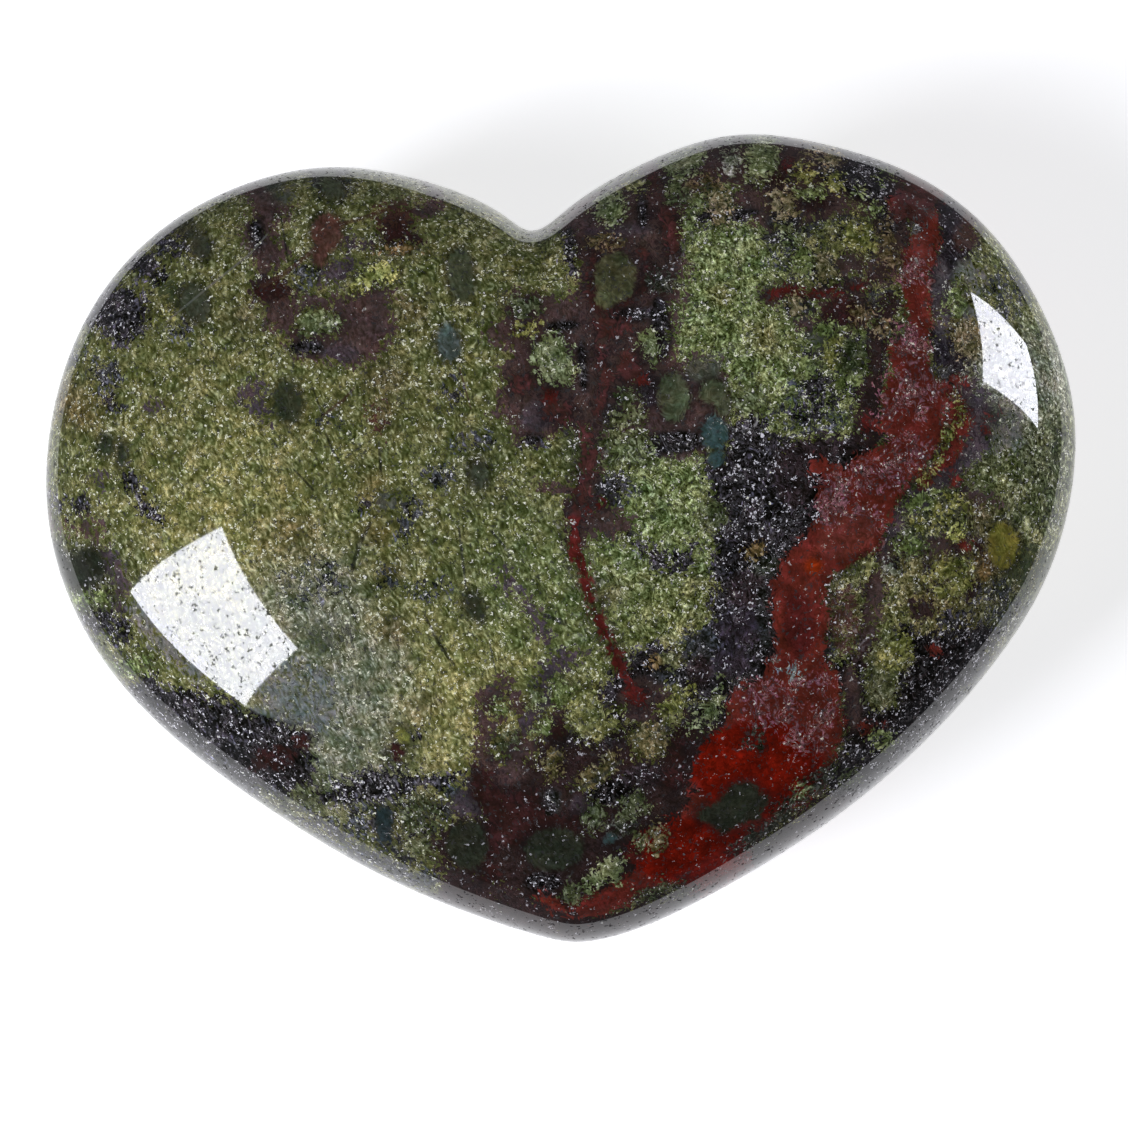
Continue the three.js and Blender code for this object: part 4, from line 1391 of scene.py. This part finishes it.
def lay_markings(mesh, studio):
    """Stores the markings on the points of the stone"""
    points = np.empty(len(mesh.vertices) * 3)
    mesh.vertices.foreach_get("co", points)
    x, y = face_places(points.reshape(-1, 3), studio)
    for name, marks in (
        ("dark", DARK_MARKS),
        ("red", RED_MARKS),
        ("crystal", CRYSTAL_MARKS),
        ("green", GREEN_MARKS),
        ("eye", EYE_MARKS),
    ):
        depth, tint = lay_marks(marks, x, y)
        keep_on_points(mesh, name + "_depth", depth)
        keep_on_points(mesh, name + "_tint", tint)
    across, nearness, tint = lay_lines(LINE_MARKS, x, y)
    keep_on_points(mesh, "line_across", across)
    keep_on_points(mesh, "line_nearness", nearness)
    keep_on_points(mesh, "line_tint", tint)
    keep_on_points(mesh, "ground_tint", blend_zones(GREEN_ZONES, x, y))
    keep_on_points(mesh, "frost", blend_frost(FROST_ZONES, x, y))

    # The green breaks up into curds right of here, over a few millimetres
    curd_start = 1.5
    curd_ease = 1.5
    keep_on_points(mesh, "curd", 1 / (1 + np.exp(-(x - curd_start) / curd_ease)))


def shaded(tree, tint, shading):
    """A tint made lighter or darker by a shading around 0. Dark grains lose their blue, and light
    grains are paler."""
    add = partial(add_node, tree)
    more_blue = (0.0, 0.0, 0.3)
    lit = add(MATH, shading, operation="EXPONENT")
    bluer = add(VECTOR_MATH, shading, more_blue, ONES, operation="MULTIPLY_ADD")
    blued = add(VECTOR_MATH, tint, bluer, operation="MULTIPLY")
    return add(VECTOR_MATH, blued, named={"Scale": lit}, operation="SCALE")


def lay_mineral(tree, below, name, textures, channel, reach, soft, contrast, habit, seam=0.0):
    """Covers a colour with one mineral where its marks lie. Reach is how far grains, fibres and
    middle noise move its edge, and contrast is how much they shade it. Habit is its share of
    wisps, flecks and specks, and is laid over the habit below in the same way. Seam is how dark
    the thin seam around it is, from 0 to 1. The edge and the shading take their textures from
    two different channels, so that they don't follow each other."""
    add = partial(add_node, tree)
    colour_below, habit_below = below
    depth = add(ATTRIBUTE, attribute_name=name + "_depth", output="Fac")
    tint = add(ATTRIBUTE, attribute_name=name + "_tint", output="Vector")
    moved = add(VECTOR_MATH, textures[channel], reach, operation="DOT_PRODUCT", output="Value")
    edge = add(MATH, depth, moved, operation="ADD")
    share = add(MAP_RANGE, edge, -soft, soft, interpolation_type="SMOOTHSTEP")
    if seam:
        near = add(MAP_RANGE, edge, -0.45, -0.1, 0.0, seam, interpolation_type="SMOOTHSTEP")
        seam_tint = linear(TINTS["seam"])
        colour_below = add(
            MIX, named={FACTOR: near, LOWER: colour_below, UPPER: seam_tint}, **OF_VECTORS,
        )
    other = textures[(channel + 1) % 3]
    shading = add(VECTOR_MATH, other, contrast, operation="DOT_PRODUCT", output="Value")
    mineral = shaded(tree, tint, shading)
    colour = add(MIX, named={FACTOR: share, LOWER: colour_below, UPPER: mineral}, **OF_VECTORS)
    habits = add(MIX, named={FACTOR: share, LOWER: habit_below, UPPER: habit}, **OF_VECTORS)
    return colour, habits


def bloodstone_material():
    """Epidote and red jasper in dark chalcedony, tumbled to a mirror polish. To the eye that
    gives crisp grains under an even gloss, which only a few tiny pits break."""
    material = bpy.data.materials.new("Tumbled Epidote and Red Jasper")
    material.use_nodes = True
    tree = material.node_tree
    tree.nodes.clear()
    add = partial(add_node, tree)

    # Sizes in millimetres. The finest of the real grains and specks are under a tenth of a
    # millimetre, too fine to show, so they are drawn as coarse as they need to show.
    grain_size = 1 / 6
    speck_spacing = 1 / 7
    fine_size = 1 / 4.5
    middle_size = 1 / 1.1
    needle_size = (1 / 8, 1 / 3, 1 / 3)
    needle_turn = math.radians(22)

    # Noises around 0, which differ in each of their three channels
    coordinates = add("ShaderNodeTexCoord", output="Object")
    place = add(VECTOR_MATH, coordinates, named={"Scale": 1 / MM}, operation="SCALE")
    fine = add(NOISE, place, output="Color", named={
        "Scale": 1 / fine_size,
        "Detail": 2.0,
        "Roughness": 0.65,
    })
    middle = add(NOISE, place, output="Color", named={"Scale": 1 / middle_size, "Detail": 1.0})
    fine_off = add(VECTOR_MATH, fine, HALVES, operation="SUBTRACT")
    middle_off = add(VECTOR_MATH, middle, HALVES, operation="SUBTRACT")

    # Needles that run steeply, from the upper left to the lower right. They curl a little on
    # the left and more on the right.
    curd = add(ATTRIBUTE, attribute_name="curd", output="Fac")
    curl = add(MATH, curd, 1.2, 0.8, operation="MULTIPLY_ADD")
    curled = add(VECTOR_MATH, middle_off, curl, place, operation="MULTIPLY_ADD")
    along_needles = add("ShaderNodeMapping", curled, vector_type="TEXTURE", named={
        "Rotation": (0.0, 0.0, needle_turn),
        "Scale": needle_size,
    })
    needles = add(NOISE, along_needles, named={"Scale": 1.0, "Detail": 0.0})
    needle_off = add(MATH, needles, 0.5, operation="SUBTRACT")

    # Grains whose edges the fine noise bends
    bent = add(VECTOR_MATH, fine_off, (0.6, 0.6, 0.6), place, operation="MULTIPLY_ADD")
    grains = add(VORONOI, named={"Vector": bent, "Scale": 1 / grain_size}).node.outputs
    grain_off = add(VECTOR_MATH, grains["Color"], HALVES, operation="SUBTRACT")

    # The fine noise takes on the run of the needles. A texture then holds one channel of the
    # grains, of the fibres and of the middle noise.
    fibres = add(VECTOR_MATH, needle_off, (1.2, 1.2, 1.2), fine_off, operation="MULTIPLY_ADD")
    parts = [add(SEPARATE, off).node.outputs for off in (grain_off, fibres, middle_off)]
    textures = [add(COMBINE, *channel) for channel in zip(*parts)]
    fibres_x, _, fibres_z = parts[1]
    middle_x = parts[2]["X"]

    # Green epidote, even on the left and broken into curds with dark hearts on the right
    tint = add(ATTRIBUTE, attribute_name="ground_tint", output="Vector")
    even = (0.8, 2.1, 0.8)
    broken_up = (1.0, 2.5, 1.1)
    contrast = add(MIX, named={FACTOR: curd, LOWER: even, UPPER: broken_up}, **OF_VECTORS)
    shading = add(VECTOR_MATH, textures[0], contrast, operation="DOT_PRODUCT", output="Value")
    heart = add(MAP_RANGE, grains["Distance"], 0.15, 0.65, -1.0, 0.6)
    curdled = add(MATH, curd, heart, shading, operation="MULTIPLY_ADD")
    ground = shaded(tree, tint, curdled)
    ground_habit = (0.55, 0.36, 0.78)

    # Dark chalcedony, and the pale painted reflections that are listed with it. Where it is black
    # it has more grain, wisps and specks than where it is
    #     # maroon or grey.
    dark_tint = add(ATTRIBUTE, attribute_name="dark_tint", output="Vector")
    off_black = add(
        VECTOR_MATH, dark_tint, (3.0, -1.5, 0.0), operation="DOT_PRODUCT", output="Value",
    )
    lively = add(MAP_RANGE, off_black, 0.024, 0.045, 1.0, 0.25)
    contrast = add(VECTOR_MATH, (2.4, 4.4, 2.4), named={"Scale": lively}, operation="SCALE")
    habit = add(VECTOR_MATH, (0.8, 0.1, 0.9), named={"Scale": lively}, operation="SCALE")
    colour, habit = lay_mineral(
        tree, (ground, ground_habit), "dark", textures, channel=1,
        reach=(0.5, 1.0, 1.1), soft=0.04, contrast=contrast, habit=habit,
    )

    # The red has a dark seam of its own, which only the fibres make uneven
    red_depth = add(ATTRIBUTE, attribute_name="red_depth", output="Fac")
    seam_edge = add(MATH, fibres_z, 1.5, red_depth, operation="MULTIPLY_ADD")
    near_red = add(MAP_RANGE, seam_edge, -0.5, -0.1, 0.0, 0.75, interpolation_type="SMOOTHSTEP")
    seam_tint = linear(TINTS["seam"])
    colour = add(MIX, named={FACTOR: near_red, LOWER: colour, UPPER: seam_tint}, **OF_VECTORS)
    below = lay_mineral(
        tree, (colour, habit), "red", textures, channel=2,
        reach=(0.1, 0.6, 0.8), soft=0.15, contrast=(0.4, 0.7, 1.6), habit=(0.0, 0.0, 0.2),
    )
    below = lay_mineral(
        tree, below, "crystal", textures, channel=0,
        reach=(0.6, 1.3, 1.4), soft=0.1, contrast=(1.2, 2.2, 1.0), habit=(1.3, 0.1, 0.5),
    )
    below = lay_mineral(
        tree, below, "green", textures, channel=2,
        reach=(0.6, 0.5, 0.8), soft=0.05, contrast=(1.4, 1.9, 1.4), habit=(0.5, 0.25, 0.5),
        seam=0.6,
    )
    colour, habit = lay_mineral(
        tree, below, "eye", textures, channel=1,
        reach=(0.1, 0.25, 0.3), soft=0.14, contrast=(0.5, 1.0, 1.4), habit=(0.0, 0.0, 0.15),
        seam=0.55,
    )

    # Thin cracks and needles
    across = add(ATTRIBUTE, attribute_name="line_across", output="Fac")
    off_line = add(MATH, across, operation="ABSOLUTE")
    in_line = add(MAP_RANGE, off_line, 1.4, 0.7, 0.0, 0.7, interpolation_type="SMOOTHSTEP")
    nearness = add(ATTRIBUTE, attribute_name="line_nearness", output="Fac")
    near_line = add(MAP_RANGE, nearness, 0.3, 0.6, interpolation_type="SMOOTHSTEP")
    line_share = add(MATH, in_line, near_line, operation="MULTIPLY")
    line_tint = add(ATTRIBUTE, attribute_name="line_tint", output="Vector")
    colour = add(MIX, named={FACTOR: line_share, LOWER: colour, UPPER: line_tint}, **OF_VECTORS)

    # The hue leans to rust or to green from grain to grain and from patch to patch
    patch_lean = (0.5, 0.18, -0.45)
    grain_lean = (0.14, 0.0, -0.14)
    lean = add(VECTOR_MATH, middle_off, patch_lean, ONES, operation="MULTIPLY_ADD")
    lean = add(VECTOR_MATH, grain_off, grain_lean, lean, operation="MULTIPLY_ADD")
    colour = add(VECTOR_MATH, colour, lean, operation="MULTIPLY")

    # How much each place has of pale wisps, flecks and bright specks
    wispy, flecky, specky = add(SEPARATE, habit).node.outputs
    frost = add(ATTRIBUTE, attribute_name="frost", output="Fac")
    wispy = add(MATH, frost, 1.0, wispy, operation="MULTIPLY_ADD")
    flecky = add(MATH, frost, 0.8, flecky, operation="MULTIPLY_ADD")
    specky = add(MATH, frost, 0.5, specky, operation="MULTIPLY_ADD")

    # A wisp lies where the fine noise or the needles pass their middle value. It lights up what
    # it lies on, and with the flecks it adds a pale haze.
    clouds = add(MAP_RANGE, middle_x, -0.12, 0.1)
    fine_y = add(SEPARATE, fine_off, output="Y")
    off_wisp = add(MATH, fine_y, operation="ABSOLUTE")
    off_needle = add(MATH, needle_off, operation="ABSOLUTE")
    off_either = add(MATH, off_wisp, off_needle, operation="MINIMUM")
    on_wisp = add(MAP_RANGE, off_either, 0.018, 0.004, interpolation_type="SMOOTHSTEP")
    clouded = add(MATH, on_wisp, clouds, operation="MULTIPLY")
    wisps = add(MATH, clouded, wispy, operation="MULTIPLY")
    lit = add(MATH, wisps, 1.6, 1.0, operation="MULTIPLY_ADD")
    colour = add(VECTOR_MATH, colour, named={"Scale": lit}, operation="SCALE")
    on_fleck = add(MAP_RANGE, fibres_x, 0.18, 0.3, interpolation_type="SMOOTHSTEP")
    flecks = add(MATH, on_fleck, flecky, operation="MULTIPLY")
    paled = add(MATH, wisps, 0.4, flecks, operation="MULTIPLY_ADD")

    # What is pale is greener on a light ground than on a dark one
    lightness = (0.2, 0.8, 0.0)
    body = add(VECTOR_MATH, colour, lightness, operation="DOT_PRODUCT", output="Value")
    in_light = add(MAP_RANGE, body, 0.02, 0.08)
    pale = add(MIX, **OF_VECTORS, named={
        FACTOR: in_light,
        LOWER: linear(TINTS["frost"]),
        UPPER: linear(TINTS["green frost"]),
    })
    haze = add(MATH, paled, 0.26, operation="MULTIPLY")
    hazed = add(VECTOR_MATH, pale, named={"Scale": haze}, operation="SCALE")
    colour = add(VECTOR_MATH, colour, hazed, operation="ADD")

    # Points whose luck says if a speck shows there, how large it is and if a grain broke out
    points = add(VORONOI, named={"Vector": bent, "Scale": 1 / speck_spacing}).node.outputs
    show_luck, size_luck, break_luck = add(SEPARATE, points["Color"]).node.outputs
    crowd = add(MAP_RANGE, middle_x, -0.15, 0.15, 0.2, 0.6)
    wanted = add(MATH, specky, crowd, operation="MULTIPLY")
    shown = add(MATH, show_luck, wanted, operation="LESS_THAN")
    size = add(MAP_RANGE, size_luck, 0.0, 1.0, 0.18, 0.55)
    core = add(MATH, size, 0.15, operation="SUBTRACT")
    inside = add(MAP_RANGE, points["Distance"], size, core)
    strength = add(MAP_RANGE, specky, 0.0, 0.6, 0.3, 1.0)
    varied = add(MAP_RANGE, size_luck, 0.0, 0.6, 0.5, 1.0)
    bright = add(MATH, inside, shown, operation="MULTIPLY")
    bright = add(MATH, bright, varied, operation="MULTIPLY")
    bright = add(MATH, bright, strength, operation="MULTIPLY")
    colour = add(MIX, named={FACTOR: bright, LOWER: colour, UPPER: pale}, **OF_VECTORS)

    # At a tenth of the points a grain broke out in the tumbler and left a dull pit, and its colour
    # is darkened there as painted shade
    pitted = add(MATH, break_luck, 0.9, operation="GREATER_THAN")
    pit = add(MAP_RANGE, points["Distance"], 0.6, 0.5)
    broken = add(MATH, pitted, pit, operation="MULTIPLY")
    pit_painted_shade = add(MATH, broken, -0.75, 1.0, operation="MULTIPLY_ADD")
    colour = add(VECTOR_MATH, colour, named={"Scale": pit_painted_shade}, operation="SCALE")
    polish = 0.03
    roughness = add(MATH, broken, 0.85, polish, operation="MULTIPLY_ADD")

    surface = add(SURFACE, named={
        "Base Color": colour,
        "Roughness": roughness,
        "IOR": 1.56,
    })
    add("ShaderNodeOutputMaterial", surface)
    return material


class OBJECT_OT_bloodstone_heart(bpy.types.Operator):
    """Make the polished stone"""

    bl_idname = "object.bloodstone_heart"
    bl_label = "Bloodstone Heart"

    def execute(self, context):
        settings = context.scene.bloodstone_heart
        loop = girdle_loop(settings)
        tree = heart_tree()
        modifier = loop.modifiers.new("Heart Stone", "NODES")
        modifier.node_group = tree
        values = {
            "Segments": settings.segments,
            "Flat Rings": settings.flat_rings,
            "Back Rings": settings.back_rings,
            "Front Rings": settings.front_rings,
            "Thickness": settings.thickness,
            "Girdle Height": settings.girdle_height,
            "Crown Fullness": settings.crown_fullness,
            "Shoulder Fullness": settings.shoulder_fullness,
            "Core Width": settings.core_width,
            "Core Length": settings.core_length,
            "Core Centre": tuple(settings.core_centre),
            "Core Ease": settings.core_ease,
            "Flat Share": settings.flat_share,
            "Material": bloodstone_material(),
        }
        for item in tree.interface.items_tree:
            if item.in_out == "INPUT" and item.name in values:
                modifier[item.identifier] = values[item.name]
        piece = plain_mesh(loop, "polished_heart")
        if not piece.data.polygons:
            raise RuntimeError("The geometry nodes made no stone")
        lay_markings(piece.data, context.scene.bloodstone_studio)
        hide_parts(NODE)
        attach(piece, "root")
        return {"FINISHED"}


def add_floor(name, middle, width, length, sides):
    """A level floor around its middle, which is an oval where it has many sides"""
    x, y, height = middle
    corners = []
    for side in range(sides):
        turn = 2 * math.pi * (side + 0.5) / sides
        corners.append((x + width / 2 * math.cos(turn), y + length / 2 * math.sin(turn), height))
    mesh = bpy.data.meshes.new(name)
    mesh.from_pydata(corners, [], [tuple(range(sides))])
    floor = bpy.data.objects.new(name, mesh)
    bpy.context.scene.collection.objects.link(floor)
    return floor


def plain_material(name, colour, glow):
    """A matt material of one colour, which may glow white"""
    material = bpy.data.materials.new(name)
    material.use_nodes = True
    tree = material.node_tree
    tree.nodes.clear()
    surface = add_node(tree, SURFACE, named={
        "Base Color": (*colour, 1.0),
        "Roughness": 0.9,
        "Emission Color": (1.0, 1.0, 1.0, 1.0),
        "Emission Strength": glow,
    })
    add_node(tree, "ShaderNodeOutputMaterial", surface)
    return material


def bearing(azimuth, elevation):
    """The direction at an azimuth, measured from +X towards +Y, and an elevation, in degrees"""
    azimuth = math.radians(azimuth)
    elevation = math.radians(elevation)
    return Vector((
        math.cos(azimuth) * math.cos(elevation),
        math.sin(azimuth) * math.cos(elevation),
        math.sin(elevation),
    ))


def add_softbox(name, power, place, facing, roll, size):
    """A rectangular softbox half a metre from the stone, at the bearing of its place. Its back
    looks along its facing, and roll turns its first side up from the horizontal."""
    lamp = bpy.data.lights.new(name, "AREA")
    lamp.shape = "RECTANGLE"
    lamp.size, lamp.size_y = size
    lamp.energy = power
    lamp.color = LAMP_COLOUR
    softbox = bpy.data.objects.new(name, lamp)
    bpy.context.scene.collection.objects.link(softbox)
    away = bearing(*facing)
    level = Vector((0, 0, 1)).cross(away).normalized()
    first = level * math.cos(math.radians(roll)) + away.cross(level) * math.sin(math.radians(roll))
    turn = Matrix((first, away.cross(first), away)).transposed().to_4x4()
    middle = Vector((0.0, 0.0, HEART_SIZE.z / 2))
    centre = middle + bearing(*place) * SOFTBOX_DISTANCE
    softbox.matrix_world = Matrix.Translation(centre) @ turn


class OBJECT_OT_bloodstone_studio(bpy.types.Operator):
    """Make the light pad, the table, the camera and the lamps"""

    bl_idname = "object.bloodstone_studio"
    bl_label = "Studio"

    def execute(self, context):
        settings = context.scene.bloodstone_studio
        scene = context.scene

        # Frosted acrylic spreads the light of the pad, so it looks evenly white and has no gloss
        acrylic = plain_material("Frosted White Acrylic", settings.pad_colour, settings.pad_glow)
        pad = add_floor(
            "studio_pad", settings.pad_middle, settings.pad_width, settings.pad_length, sides=96,
        )
        pad.data.materials.append(acrylic)

        # Pressed paper is matt too, and its grey shows in the rim of the stone as a darker band
        paper = plain_material("Grey Studio Paper", settings.table_colour, glow=0.0)
        table_place = (0.0, 0.0, -settings.pad_thickness)
        table = add_floor("studio_table", table_place, width=4.0, length=4.0, sides=4)
        table.data.materials.append(paper)

        lens = bpy.data.cameras.new("Camera")
        lens.sensor_width = SENSOR_WIDTH
        lens.lens = SENSOR_WIDTH * settings.camera_distance / settings.view_width
        camera = bpy.data.objects.new("Camera", lens)
        scene.collection.objects.link(camera)
        right, up, towards = view_axes(settings)
        turn = Matrix((right, up, towards)).transposed().to_4x4()
        place = Vector(settings.aim) + towards * settings.camera_distance
        camera.matrix_world = Matrix.Translation(place) @ turn
        scene.camera = camera

        # The polished face mirrors each softbox as a bright window
        add_softbox(
            "Left Softbox", settings.left_power,
            place=(-157.2, 40.0), facing=(175.7, 7.4), roll=110.0, size=(0.305, 0.234),
        )
        add_softbox(
            "Right Softbox", settings.right_power,
            place=(20.3, 14.2), facing=(-21.9, 25.7), roll=73.5, size=(0.219, 0.215),
        )

        # The room is dim, and a little brighter low down than overhead
        low_glow, high_glow = 0.03, 0.02
        world = bpy.data.worlds.new("Studio Room")
        world.use_nodes = True
        tree = world.node_tree
        tree.nodes.clear()
        direction = add_node(tree, "ShaderNodeTexCoord", output="Generated")
        height = add_node(tree, SEPARATE, direction, output="Z")
        glow = add_node(tree, MAP_RANGE, height, 0.0, 0.8, low_glow, high_glow)
        room = add_node(tree, "ShaderNodeBackground", named={"Strength": glow})
        add_node(tree, "ShaderNodeOutputWorld", room)
        scene.world = world
        scene.view_settings.view_transform = "Standard"
        return {"FINISHED"}


class VIEW3D_PT_bloodstone(bpy.types.Panel):
    """Lists what makes the bloodstone heart"""

    bl_idname = "VIEW3D_PT_bloodstone"
    bl_label = "Bloodstone Heart"
    bl_space_type = "VIEW_3D"
    bl_region_type = "UI"
    bl_category = "Bloodstone Heart"

    def draw(self, context):
        scene = context.scene
        for settings, operator in (
            (scene.bloodstone_heart, OBJECT_OT_bloodstone_heart),
            (scene.bloodstone_studio, OBJECT_OT_bloodstone_studio),
        ):
            box = self.layout.box()
            for name in settings.__annotations__:
                box.prop(settings, name)
            box.operator(operator.bl_idname)


CLASSES = (
    BloodstoneHeartSettings,
    BloodstoneStudioSettings,
    OBJECT_OT_bloodstone_heart,
    OBJECT_OT_bloodstone_studio,
    VIEW3D_PT_bloodstone,
)


def register():
    for cls in CLASSES:
        bpy.utils.register_class(cls)
    bpy.types.Scene.bloodstone_heart = PointerProperty(type=BloodstoneHeartSettings)
    bpy.types.Scene.bloodstone_studio = PointerProperty(type=BloodstoneStudioSettings)


def unregister():
    del bpy.types.Scene.bloodstone_studio
    del bpy.types.Scene.bloodstone_heart
    for cls in reversed(CLASSES):
        bpy.utils.unregister_class(cls)


def main():
    register()
    bpy.ops.object.bloodstone_heart()
    bpy.ops.object.bloodstone_studio()


if __name__ == "__main__":
    main()
